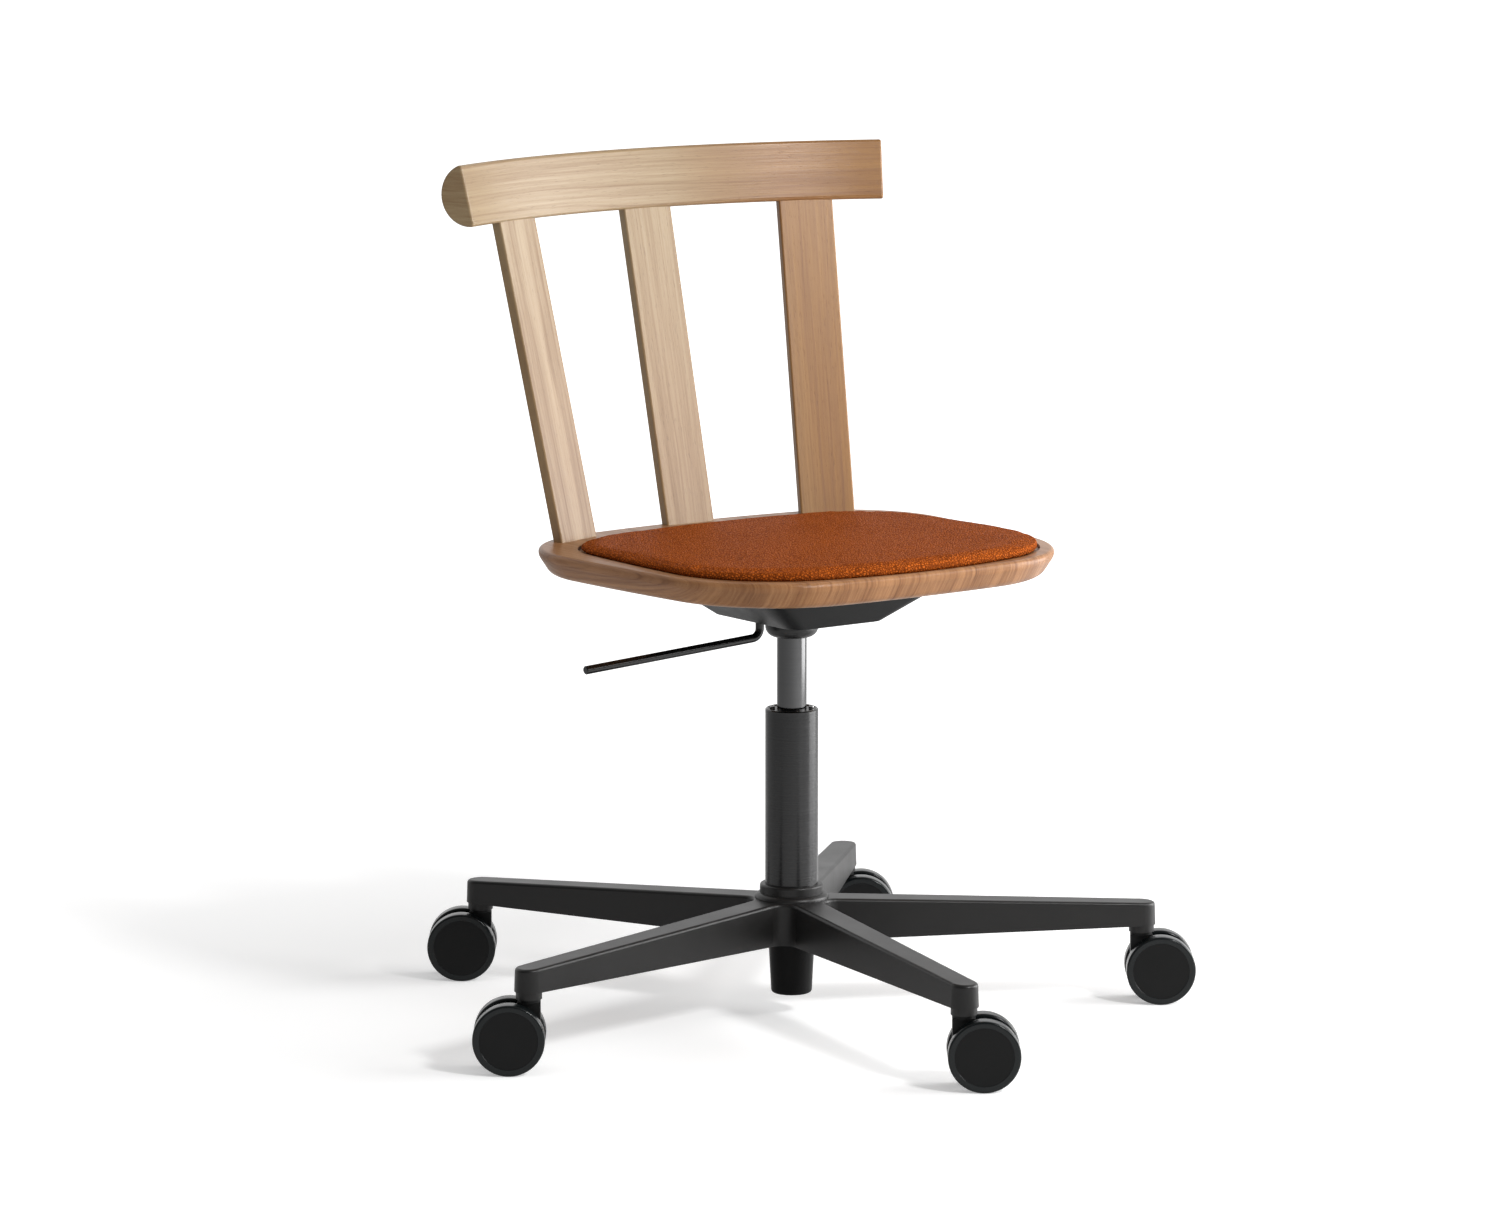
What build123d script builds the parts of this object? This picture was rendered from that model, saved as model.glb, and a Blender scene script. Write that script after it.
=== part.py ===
from build123d import *
import math
import os

# Swivel chair: a wooden seat and slatted back on a gas column, a five-arm base and twin-wheel casters.
# Millimetres, +Z up, origin on the floor under the column. The sitter faces -Y.

# Seat board
SEAT_HEIGHT = 449.0
SEAT_THICKNESS = 25.0
SEAT_FRONT_WIDTH = 396.0
SEAT_REAR_WIDTH = 442.0
SEAT_FRONT_CORNER_Y = -198.0
SEAT_REAR_CORNER_Y = 151.0
SEAT_FRONT_BOW = 17.0
SEAT_SIDE_BOW = 7.5
SEAT_REAR_BOW = 26.0
SEAT_FRONT_CORNER_RADIUS = 130.0
SEAT_REAR_CORNER_RADIUS = 104.0
SEAT_EDGE_LAND = 7.0
SEAT_UNDERCUT_ANGLE = 32.5
SEAT_TOP_EDGE_RADIUS = 4.0
SEAT_SIDE_RADIUS = 9.0
SEAT_LOWER_EDGE_RADIUS = 13.0

# Leather pad, set into a shallow pocket
PAD_FRONT_WIDTH = 392.0
PAD_REAR_WIDTH = 375.0
PAD_FRONT_CORNER_Y = -164.0
PAD_REAR_CORNER_Y = 118.0
PAD_FRONT_BOW = 44.0
PAD_SIDE_BOW = 5.0
PAD_REAR_BOW = 8.0
PAD_FRONT_CORNER_RADIUS = 115.0
PAD_REAR_CORNER_RADIUS = 73.0
PAD_POCKET_DEPTH = 3.0
PAD_POCKET_CLEARANCE = 0.5
PAD_FLOOR_CLEARANCE = 0.3
PAD_DRAW_IN = 2.5
PAD_ROLL_HEIGHT = 1.0
PAD_ROLL_RADIUS = 3.2
PAD_CROWN_HEIGHT = 10.5
PAD_CROWN_RADIUS = 6000.0
PAD_CROWN_Y = -100.0

# Back: three slats and a crest rail set round one upright axis in front of the sitter
BACK_AXIS_Y = -300.0
BACK_RADIUS = 461.0
BACK_LEAN = 13.4
SLAT_PITCH = 18.5
SLAT_WIDTH = 55.0
SLAT_THICKNESS = 10.5
SLAT_EDGE_RADIUS = 1.8
SLAT_SEAT_TENON = 14.0
SLAT_CREST_TENON = 28.0
TENON_CLEARANCE = 0.05
CREST_RISE = 297.0
CREST_FACE_HEIGHT = 59.2
CREST_DEPTH = 28.5
CREST_OVERHANG = 2.0
CREST_HALF_SWEEP = 26.9
CREST_EDGE_RADIUS = 3.5
CREST_END_RADIUS = 2.0

# Mechanism housing, an open tray screwed under the seat
HOUSING_DEPTH = 43.0
HOUSING_FLOOR_WIDTH = 108.0
HOUSING_FLOOR_FRONT = 77.0
HOUSING_FLOOR_REAR = 57.0
HOUSING_RIM_WIDTH = 254.0
HOUSING_RIM_FRONT = 118.0
HOUSING_RIM_REAR = 68.0
HOUSING_FLOOR_CORNER = 16.0
HOUSING_RIM_CORNER = 30.0
HOUSING_FLOOR_WALL = 4.0
HOUSING_FLOOR_INSET = 1.0
HOUSING_RIM_WALL = 7.0
HOUSING_EDGE_RADIUS = 1.5
SOCKET_WALL = 8.0
SOCKET_HEIGHT = 21.0
RIB_THICKNESS = 4.0
RIB_HEIGHT = 17.0
SCREW_SPACING_X = 80.0
SCREW_FRONT_Y = -58.0
SCREW_REAR_Y = 38.0
SCREW_BOSS_RADIUS = 9.0
SCREW_GRIP = 12.0
SCREW_REACH = 11.0
SCREW_DIAMETER = 6.0
SCREW_HEAD_DIAMETER = 10.5
SCREW_HEAD_HEIGHT = 5.0
HEX_SIDES = 6
SCREW_KEY_SIZE = 4.0
SCREW_KEY_DEPTH = 2.5
SCREW_HEAD_CLEARANCE = 0.5
INSERT_DIAMETER = 9.0
INSERT_LENGTH = 13.0

# Gas column
CYLINDER_DIAMETER = 28.0
CYLINDER_WALL = 2.0
CYLINDER_FOOT = 112.0
CYLINDER_CROWN = 330.0
CYLINDER_TIP_DIAMETER = 26.0
CYLINDER_TIP_RISE = 2.0
COLLAR_DIAMETER = 50.0
COLLAR_HEIGHT = 20.0
COLLAR_EDGE_RADIUS = 10.0
TUBE_DIAMETER = 50.0
TUBE_WALL = 2.5
TUBE_TOP = 293.0
TUBE_RIM_CHAMFER = 1.0
TUBE_SHOULDER_DEPTH = 5.0
TUBE_SHOULDER_DIAMETER = 46.0
TUBE_TAPER_DIAMETER = 44.0
TUBE_FOOT = 20.0
TUBE_FOOT_DIAMETER = 38.5
TUBE_FOOT_WALL = 4.0
TUBE_FOOT_RADIUS = 3.0
TUBE_FLOOR_RECESS = 7.0
TUBE_FLOOR_THICKNESS = 4.0
TUBE_RECESS_DIAMETER = 24.0
BUSH_LENGTH = 80.0
BUSH_RECESS = 1.0
BUSH_SCREW_COUNT = 2
BUSH_SCREW_TURN = -36.3
BUSH_SCREW_DIAMETER = 2.5
BUSH_SCREW_LENGTH = 9.0
BUSH_SCREW_HEAD_DIAMETER = 5.0
BUSH_SCREW_HEAD_HEIGHT = 2.6
BUSH_SCREW_KEY_SIZE = 2.0
BUSH_SCREW_KEY_DEPTH = 1.3
ROD_DIAMETER = 10.0
ROD_END_DIAMETER = 8.0
ROD_TIP_LENGTH = 2.0
ROD_HOLE_CLEARANCE = 0.5
PISTON_HEIGHT = 15.0
PISTON_TOP = 215.0
SEAL_HEIGHT = 18.0
BALL_DIAMETER = 5.0
BALL_COUNT = 8
BALL_CIRCLE_RADIUS = 8.5
BALL_CLEARANCE = 0.05
WASHER_THICKNESS = 2.5
WASHER_DIAMETER = 26.0
CLIP_THICKNESS = 1.5
CLIP_DIAMETER = 16.0
CLIP_GROOVE_DEPTH = 1.0
BUMPER_DIAMETER = 24.0
BUMPER_HEIGHT = 9.0
BUMPER_EDGE = 2.0
RUNNING_CLEARANCE = 0.05
SEATING_CLEARANCE = 0.05

# Height lever and release pin
LEVER_DIAMETER = 8.0
LEVER_POST_X = -37.5
LEVER_REACH = 198.5
LEVER_DROOP = 11.5
LEVER_DROP = 17.0
LEVER_BEND_RADIUS = 9.0
LEVER_TIP_CHAMFER = 0.8
LEVER_TOE_X = 6.0
LEVER_SLOT_LENGTH = 20.0
PIVOT_DIAMETER = 4.0
PIVOT_RISE = 14.0
EAR_THICKNESS = 5.0
EAR_WIDTH = 14.0
EAR_GAP = 11.0
EAR_CROWN = 7.0
PIN_DIAMETER = 7.0
PIN_LENGTH = 24.0
PIN_RISE = 5.7
PIN_LEVER_GAP = 0.3
PIN_EDGE_RADIUS = 1.2

# Five-arm base
ARM_COUNT = 5
BASE_TURN = -27.5
CASTER_CIRCLE_RADIUS = 338.0
ARM_TIP_WIDTH = 27.0
ARM_ROOT_WIDTH = 34.0
ARM_UNDERSIDE = 72.0
ARM_TIP_RISE = 2.6
ARM_TIP_TOP = 97.0
ARM_ROOT_TOP = 113.5
ARM_DRAFT_ANGLE = 2.0
ARM_WEB_RADIUS = 14.0
ARM_EDGE_RADIUS = 3.0
ARM_WALL = 4.5
ARM_POCKET_COUNT = 3
ARM_POCKET_START = 64.0
ARM_RIB_THICKNESS = 4.0
ARM_POCKET_CORNER = 3.0
HUB_RING_DIAMETER = 60.0
HUB_TOP = 125.5
HUB_EDGE_RADIUS = 2.0
HUB_FOOT_RADIUS = 5.0
BOSS_DIAMETER = 24.0
BOSS_DROP = 4.2

# Twin-wheel casters
WHEEL_DIAMETER = 66.0
WHEEL_WIDTH = 15.5
WHEEL_SIDE_GAP = 0.5
WHEEL_WEB = 5.0
WHEEL_SKIN = 1.6
WHEEL_HUB_DIAMETER = 14.0
WHEEL_RIM_THICKNESS = 4.0
WHEEL_FACE_CHAMFER = 0.8
TYRE_THICKNESS = 3.6
TYRE_EDGE = 2.0
CASTER_TRAIL = 18.0
CASTER_FRAME_WIDTH = 14.0
CASTER_FRAME_RADIUS = 20.0
CASTER_NECK_WIDTH = 21.0
CASTER_FLANGE_THICKNESS = 2.2
CASTER_SWIVEL_GAP = 0.4
STEM_DIAMETER = 11.0
STEM_ENGAGEMENT = 20.0
STEM_ROOT = 16.0
STEM_GROOVE_RISE = 13.0
STEM_GROOVE_WIDTH = 3.0
STEM_GROOVE_DEPTH = 0.8
STEM_LEAD = 1.2
AXLE_DIAMETER = 6.0
AXLE_END_GAP = 0.3
ROLL_TURN = -36.3
TRAIL_SIGNS = (1, 1, -1, -1, 1)

# Heights and sizes that follow from the values above
SEAT_UNDERSIDE = SEAT_HEIGHT - SEAT_THICKNESS
POCKET_FLOOR = SEAT_HEIGHT - PAD_POCKET_DEPTH
HOUSING_FLOOR = SEAT_UNDERSIDE - HOUSING_DEPTH
SOCKET_TOP = HOUSING_FLOOR + SOCKET_HEIGHT
SCREW_BEARING = SEAT_UNDERSIDE - SCREW_GRIP
CYLINDER_RADIUS = CYLINDER_DIAMETER / 2
BORE_RADIUS = CYLINDER_RADIUS - CYLINDER_WALL
CYLINDER_TIP = SOCKET_TOP + CYLINDER_TIP_RISE
TUBE_RADIUS = TUBE_DIAMETER / 2
TUBE_BORE_RADIUS = TUBE_RADIUS - TUBE_WALL
TUBE_SHOULDER = HUB_TOP - TUBE_SHOULDER_DEPTH
TUBE_FLOOR_UNDERSIDE = TUBE_FOOT + TUBE_FLOOR_RECESS
TUBE_FLOOR = TUBE_FLOOR_UNDERSIDE + TUBE_FLOOR_THICKNESS
BUSH_TOP = TUBE_TOP - BUSH_RECESS
BUSH_SCREW_RADIUS = (CYLINDER_RADIUS + TUBE_BORE_RADIUS) / 2
ROD_RADIUS = ROD_DIAMETER / 2
ROD_END_RADIUS = ROD_END_DIAMETER / 2
CLIP_TOP = TUBE_FLOOR_UNDERSIDE - BALL_CLEARANCE
CLIP_BOTTOM = CLIP_TOP - CLIP_THICKNESS
CLIP_SEAT_RADIUS = ROD_END_RADIUS - CLIP_GROOVE_DEPTH
WASHER_BOTTOM = TUBE_FLOOR + BALL_DIAMETER
WASHER_TOP = WASHER_BOTTOM + WASHER_THICKNESS
PISTON_BOTTOM = PISTON_TOP - PISTON_HEIGHT
PIN_RADIUS = PIN_DIAMETER / 2
PIN_TOP = CYLINDER_TIP + PIN_RISE
LEVER_RADIUS = LEVER_DIAMETER / 2
LEVER_TOE_Z = PIN_TOP + PIN_LEVER_GAP + LEVER_RADIUS
LEVER_BEND_Z = HOUSING_FLOOR - LEVER_DROP
PIVOT_Z = HOUSING_FLOOR + PIVOT_RISE
PIVOT_RADIUS = PIVOT_DIAMETER / 2
BOSS_UNDERSIDE = ARM_UNDERSIDE - BOSS_DROP
WHEEL_RADIUS = WHEEL_DIAMETER / 2
RIM_RADIUS = WHEEL_RADIUS - TYRE_THICKNESS
WHEEL_INNER = CASTER_FRAME_WIDTH / 2 + WHEEL_SIDE_GAP
WHEEL_OUTER = WHEEL_INNER + WHEEL_WIDTH
AXLE_RADIUS = AXLE_DIAMETER / 2
AXLE_END = WHEEL_OUTER - WHEEL_SKIN - AXLE_END_GAP
STEM_RADIUS = STEM_DIAMETER / 2
STEM_TOP = BOSS_UNDERSIDE + STEM_ENGAGEMENT
CASTER_TOP = BOSS_UNDERSIDE - CASTER_SWIVEL_GAP
CASTER_SHOULDER = CASTER_TOP - CASTER_FLANGE_THICKNESS
STEM_FOOT = CASTER_TOP - STEM_ROOT
SCREW_POINTS = [(side * SCREW_SPACING_X / 2, y) for side in (-1, 1) for y in (SCREW_FRONT_Y, SCREW_REAR_Y)]

os.makedirs("parts", exist_ok=True)


def save(piece, label):
    """Label one finished piece and write it to its own file."""
    piece.part.label = label
    export_step(piece.part, f"parts/{label}.step")


def turn(*points, mode=Mode.ADD):
    """Turn (radius, height) points about the column axis, in the part that is being built."""
    with BuildSketch(Plane.XZ) as profile:
        with BuildLine():
            Polyline(*points, close=True)
        make_face()
    revolve(profile.sketch, axis=Axis.Z, mode=mode)


def turn_ring(outer_radius, inner_radius, bottom, top):
    """Turn a plain ring about the column axis, in the part that is being built."""
    turn((inner_radius, bottom), (outer_radius, bottom), (outer_radius, top), (inner_radius, top))


def bowed_plan(widths, corner_heights, bows, radii):
    """A plan of four bowed sides with rounded corners; each pair runs from front to rear."""
    front, rear = (width / 2 for width in widths)
    front_y, rear_y = corner_heights
    front_bow, side_bow, rear_bow = bows
    front_radius, rear_radius = radii
    with BuildSketch() as plan:
        with BuildLine():
            SagittaArc((-front, front_y), (front, front_y), -front_bow)
            SagittaArc((front, front_y), (rear, rear_y), -side_bow)
            SagittaArc((rear, rear_y), (-rear, rear_y), -rear_bow)
            SagittaArc((-rear, rear_y), (-front, front_y), -side_bow)
        make_face()
        fillet(plan.vertices().sort_by(Axis.Y)[:2], front_radius)
        fillet(plan.vertices().sort_by(Axis.Y)[-2:], rear_radius)
    return plan.sketch


seat_plan = bowed_plan(
    widths=(SEAT_FRONT_WIDTH, SEAT_REAR_WIDTH),
    corner_heights=(SEAT_FRONT_CORNER_Y, SEAT_REAR_CORNER_Y),
    bows=(SEAT_FRONT_BOW, SEAT_SIDE_BOW, SEAT_REAR_BOW),
    radii=(SEAT_FRONT_CORNER_RADIUS, SEAT_REAR_CORNER_RADIUS),
)


def grown_pad_plan(growth):
    """The pad's plan, larger all round by the growth."""
    return bowed_plan(
        widths=(PAD_FRONT_WIDTH + 2 * growth, PAD_REAR_WIDTH + 2 * growth),
        corner_heights=(PAD_FRONT_CORNER_Y - growth, PAD_REAR_CORNER_Y + growth),
        bows=(PAD_FRONT_BOW, PAD_SIDE_BOW, PAD_REAR_BOW),
        radii=(PAD_FRONT_CORNER_RADIUS + growth, PAD_REAR_CORNER_RADIUS + growth),
    )


pad_plan = grown_pad_plan(0.0)
pocket_plan = grown_pad_plan(PAD_POCKET_CLEARANCE)


# Back slats: flat boards with rounded long edges, each tangent to the back's round and leaning away
def slat_plane(turn):
    """The front face of a slat: x across the slat, y up it, z towards the sitter."""
    around = math.radians(turn)
    lean = math.radians(BACK_LEAN)
    return Plane(
        origin=(BACK_RADIUS * math.sin(around), BACK_AXIS_Y + BACK_RADIUS * math.cos(around), SEAT_HEIGHT),
        x_dir=(math.cos(around), -math.sin(around), 0),
        z_dir=(-math.sin(around) * math.cos(lean), -math.cos(around) * math.cos(lean), math.sin(lean)),
    )


def slat(turn, clearance=0.0):
    """One slat with its tenons, or, with a clearance, the space that it needs."""
    rise = math.cos(math.radians(BACK_LEAN))
    low = -SLAT_SEAT_TENON / rise - clearance
    high = (CREST_RISE + SLAT_CREST_TENON) / rise + clearance
    face = slat_plane(turn).offset(clearance)
    with BuildPart() as board:
        with BuildSketch(face):
            with Locations((0, (low + high) / 2)):
                Rectangle(SLAT_WIDTH + 2 * clearance, high - low)
        extrude(amount=-(SLAT_THICKNESS + 2 * clearance))
        fillet(board.edges().filter_by(Axis(face.origin, face.y_dir)), SLAT_EDGE_RADIUS + clearance)
    return board


slat_turns = {"right": -SLAT_PITCH, "middle": 0.0, "left": SLAT_PITCH}
for side, around in slat_turns.items():
    save(slat(around), f"back_slat_{side}")
slat_mortises = [slat(around, TENON_CLEARANCE).part for around in slat_turns.values()]

# Crest rail: flat in front, round behind, swept round the back's axis and morticed for the slats
crest_turn = math.radians(CREST_HALF_SWEEP)
crest_lean = math.radians(BACK_LEAN)
crest_radius = BACK_RADIUS + CREST_RISE * math.tan(crest_lean) - CREST_OVERHANG
crest_plane = Plane(
    origin=(
        crest_radius * math.sin(crest_turn),
        BACK_AXIS_Y + crest_radius * math.cos(crest_turn),
        SEAT_HEIGHT + CREST_RISE,
    ),
    x_dir=(
        math.sin(crest_turn) * math.cos(crest_lean),
        math.cos(crest_turn) * math.cos(crest_lean),
        -math.sin(crest_lean),
    ),
    z_dir=(math.cos(crest_turn), -math.sin(crest_turn), 0),
)
with BuildPart() as crest_rail:
    with BuildSketch(crest_plane) as crest_section:
        with BuildLine():
            Line((0, 0), (0, CREST_FACE_HEIGHT))
            ThreePointArc((0, CREST_FACE_HEIGHT), (CREST_DEPTH, CREST_FACE_HEIGHT / 2), (0, 0))
        make_face()
        fillet(crest_section.vertices(), CREST_EDGE_RADIUS)
    revolve(axis=Axis((0, BACK_AXIS_Y, 0), (0, 0, 1)), revolution_arc=2 * CREST_HALF_SWEEP)
    crest_ends = crest_rail.faces().filter_by(GeomType.PLANE)
    fillet(crest_ends.edges(), CREST_END_RADIUS)
    add(slat_mortises, mode=Mode.SUBTRACT)
save(crest_rail, "crest_rail")

# Seat board: undercut all round, pocketed for the pad, morticed for the slats, bored for the inserts
undercut_depth = SEAT_THICKNESS - SEAT_EDGE_LAND
undercut_run = undercut_depth * math.tan(math.radians(SEAT_UNDERCUT_ANGLE))
undercut_top = SEAT_HEIGHT - SEAT_EDGE_LAND
with BuildPart() as seat_board:
    with BuildSketch(Plane.XY.offset(SEAT_HEIGHT)):
        add(seat_plan)
    extrude(amount=-SEAT_THICKNESS)
    underside = seat_board.faces().sort_by(Axis.Z)[0]
    chamfer(underside.edges(), undercut_run, undercut_depth, reference=underside)
    fillet(seat_board.faces().sort_by(Axis.Z)[-1].edges(), SEAT_TOP_EDGE_RADIUS)
    fillet(seat_board.faces().sort_by(Axis.Z)[0].edges(), SEAT_LOWER_EDGE_RADIUS)
    side_edges = seat_board.edges().filter_by_position(Axis.Z, undercut_top, undercut_top)
    fillet(side_edges, SEAT_SIDE_RADIUS)
    with BuildSketch(Plane.XY.offset(POCKET_FLOOR)):
        add(pocket_plan)
    extrude(amount=PAD_POCKET_DEPTH, mode=Mode.SUBTRACT)
    add(slat_mortises, mode=Mode.SUBTRACT)
    with BuildSketch(Plane.XY.offset(SEAT_UNDERSIDE)):
        with Locations(*SCREW_POINTS):
            Circle(INSERT_DIAMETER / 2 + SEATING_CLEARANCE)
    extrude(amount=INSERT_LENGTH, mode=Mode.SUBTRACT)
save(seat_board, "seat_board")

# Seat pad: sides drawn in at the pocket, a rolled edge and a low crown
pad_foot = POCKET_FLOOR + PAD_FLOOR_CLEARANCE
pad_crown = SEAT_HEIGHT + PAD_CROWN_HEIGHT
pad_reach = PAD_FRONT_WIDTH
crown_axis = Axis((0, PAD_CROWN_Y, 0), (0, 0, 1))
pad_edge = pad_crown - PAD_CROWN_RADIUS + math.sqrt(PAD_CROWN_RADIUS**2 - pad_reach**2)
with BuildPart() as seat_pad:
    with BuildSketch(Plane.XY.offset(pad_foot)):
        add(pad_plan)
    extrude(amount=pad_crown - pad_foot)
    with BuildSketch(Plane.XZ.offset(-PAD_CROWN_Y)):
        with BuildLine():
            TangentArc((0, pad_crown), (pad_reach, pad_edge), tangent=(1, 0))
            Polyline((pad_reach, pad_edge), (pad_reach, pad_foot), (0, pad_foot), (0, pad_crown))
        make_face()
    revolve(axis=crown_axis, mode=Mode.INTERSECT)
    fillet(seat_pad.faces().sort_by(Axis.Z)[-1].edges(), PAD_ROLL_RADIUS)
    pad_base = seat_pad.faces().sort_by(Axis.Z)[0]
    chamfer(pad_base.edges(), PAD_DRAW_IN, SEAT_HEIGHT + PAD_ROLL_HEIGHT - pad_foot, reference=pad_base)
save(seat_pad, "seat_pad")

# Threaded inserts in the seat, and the screws that hold the housing to them
with BuildPart() as seat_inserts:
    with BuildSketch(Plane.XY.offset(SEAT_UNDERSIDE)):
        with Locations(*SCREW_POINTS):
            Circle(INSERT_DIAMETER / 2)
            Circle(SCREW_DIAMETER / 2 + SEATING_CLEARANCE, mode=Mode.SUBTRACT)
    extrude(amount=INSERT_LENGTH)
save(seat_inserts, "seat_inserts")

with BuildPart() as seat_screws:
    with BuildSketch(Plane.XY.offset(SCREW_BEARING)):
        with Locations(*SCREW_POINTS):
            Circle(SCREW_DIAMETER / 2)
    extrude(amount=SCREW_GRIP + SCREW_REACH)
    with BuildSketch(Plane.XY.offset(SCREW_BEARING - SCREW_HEAD_HEIGHT)):
        with Locations(*SCREW_POINTS):
            Circle(SCREW_HEAD_DIAMETER / 2)
    extrude(amount=SCREW_HEAD_HEIGHT)
    with BuildSketch(Plane.XY.offset(SCREW_BEARING - SCREW_HEAD_HEIGHT)):
        with Locations(*SCREW_POINTS):
            RegularPolygon(SCREW_KEY_SIZE / 2, HEX_SIDES, major_radius=False)
    extrude(amount=SCREW_KEY_DEPTH, mode=Mode.SUBTRACT)
save(seat_screws, "seat_screws")


# Mechanism housing: a flared tray with a tapered socket, ribs, screw bosses and two ears for the lever
def tray_section(level, width, front, rear, corner):
    """One level of the tray as a rounded rectangle."""
    with BuildSketch(Plane.XY.offset(level)) as section:
        with Locations((0, (rear - front) / 2)):
            RectangleRounded(width, front + rear, corner)
    return section.sketch


def loft_tray(floor, floor_inset, rim_inset):
    """Loft the tray's flared block up to the seat, smaller all round by the insets."""
    floor_section = tray_section(
        floor,
        HOUSING_FLOOR_WIDTH - 2 * floor_inset,
        HOUSING_FLOOR_FRONT - floor_inset,
        HOUSING_FLOOR_REAR - floor_inset,
        HOUSING_FLOOR_CORNER - floor_inset,
    )
    rim_section = tray_section(
        SEAT_UNDERSIDE,
        HOUSING_RIM_WIDTH - 2 * rim_inset,
        HOUSING_RIM_FRONT - rim_inset,
        HOUSING_RIM_REAR - rim_inset,
        HOUSING_RIM_CORNER - rim_inset,
    )
    loft([floor_section, rim_section])


floor_top = HOUSING_FLOOR + HOUSING_FLOOR_WALL
ear_y = (EAR_GAP + EAR_THICKNESS) / 2
rib_run = HOUSING_RIM_WIDTH / 2
with BuildPart() as housing_cavity:
    loft_tray(floor_top, HOUSING_FLOOR_INSET, HOUSING_RIM_WALL)
    with BuildSketch(Plane.XY.offset(floor_top)):
        Circle(CYLINDER_RADIUS + SOCKET_WALL)
    extrude(amount=SOCKET_TOP - floor_top, mode=Mode.SUBTRACT)
    with BuildSketch(Plane.XY.offset(floor_top)):
        with Locations((rib_run / 2, 0)):
            Rectangle(rib_run, RIB_THICKNESS)
        Rectangle(RIB_THICKNESS, 2 * rib_run)
    extrude(amount=HOUSING_FLOOR + RIB_HEIGHT - floor_top, mode=Mode.SUBTRACT)
    with BuildSketch(Plane.XY.offset(floor_top)):
        with Locations((LEVER_POST_X, -ear_y), (LEVER_POST_X, ear_y)):
            Rectangle(EAR_WIDTH, EAR_THICKNESS)
    extrude(amount=PIVOT_Z + EAR_CROWN - floor_top, mode=Mode.SUBTRACT)
    with BuildSketch(Plane.XY.offset(floor_top)):
        with Locations(*SCREW_POINTS):
            Circle(SCREW_BOSS_RADIUS)
    extrude(amount=SEAT_UNDERSIDE - floor_top, mode=Mode.SUBTRACT)

pivot_plane = Plane(origin=(LEVER_POST_X, 0, PIVOT_Z), x_dir=(1, 0, 0), z_dir=(0, -1, 0))
with BuildPart() as mechanism_housing:
    loft_tray(HOUSING_FLOOR, 0.0, 0.0)
    fillet(mechanism_housing.faces().sort_by(Axis.Z)[0].edges(), HOUSING_EDGE_RADIUS)
    add(housing_cavity.part, mode=Mode.SUBTRACT)
    turn(
        (0, HOUSING_FLOOR),
        (CYLINDER_RADIUS + SEATING_CLEARANCE, HOUSING_FLOOR),
        (CYLINDER_TIP_DIAMETER / 2 + SEATING_CLEARANCE, CYLINDER_TIP),
        (0, CYLINDER_TIP),
        mode=Mode.SUBTRACT,
    )
    with BuildSketch(Plane.XY.offset(HOUSING_FLOOR)):
        with Locations(*SCREW_POINTS):
            Circle(SCREW_HEAD_DIAMETER / 2 + SCREW_HEAD_CLEARANCE)
    extrude(amount=SCREW_BEARING - HOUSING_FLOOR, mode=Mode.SUBTRACT)
    with BuildSketch(Plane.XY.offset(SCREW_BEARING)):
        with Locations(*SCREW_POINTS):
            Circle(SCREW_DIAMETER / 2 + SEATING_CLEARANCE)
    extrude(amount=SCREW_GRIP, mode=Mode.SUBTRACT)
    with BuildSketch(Plane.XY.offset(HOUSING_FLOOR)):
        with Locations((LEVER_POST_X, 0)):
            SlotOverall(LEVER_SLOT_LENGTH, EAR_GAP)
    extrude(amount=HOUSING_FLOOR_WALL, mode=Mode.SUBTRACT)
    with BuildSketch(pivot_plane):
        Circle(PIVOT_RADIUS + SEATING_CLEARANCE)
    extrude(amount=EAR_GAP / 2 + EAR_THICKNESS, both=True, mode=Mode.SUBTRACT)
save(mechanism_housing, "mechanism_housing")

# Release lever: one bent rod, pivoted on its post, with a toe over the release pin
with BuildPart() as lever_pivot_pin:
    with BuildSketch(pivot_plane):
        Circle(PIVOT_RADIUS)
    extrude(amount=EAR_GAP / 2 + EAR_THICKNESS, both=True)
save(lever_pivot_pin, "lever_pivot_pin")

with BuildPart() as release_lever:
    with BuildLine(Plane.XZ) as lever_path:
        FilletPolyline(
            (LEVER_POST_X - LEVER_REACH, LEVER_BEND_Z - LEVER_DROOP),
            (LEVER_POST_X, LEVER_BEND_Z),
            (LEVER_POST_X, LEVER_TOE_Z),
            (LEVER_TOE_X, LEVER_TOE_Z),
            radius=LEVER_BEND_RADIUS,
        )
    lever_line = lever_path.wires()[0]
    with BuildSketch(Plane(origin=lever_line @ 0, z_dir=lever_line % 0)):
        Circle(LEVER_RADIUS)
    sweep(path=lever_line)
    chamfer(release_lever.faces().sort_by(Axis.X)[0].edges(), LEVER_TIP_CHAMFER)
    with BuildSketch(pivot_plane):
        Circle(PIVOT_RADIUS + RUNNING_CLEARANCE)
    extrude(amount=LEVER_RADIUS, both=True, mode=Mode.SUBTRACT)
save(release_lever, "release_lever")

with BuildPart() as release_pin:
    with BuildSketch(Plane.XY.offset(PIN_TOP - PIN_LENGTH)):
        Circle(PIN_RADIUS)
    extrude(amount=PIN_LENGTH)
    fillet(release_pin.faces().sort_by(Axis.Z)[-1].edges(), PIN_EDGE_RADIUS)
save(release_pin, "release_pin")

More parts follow.
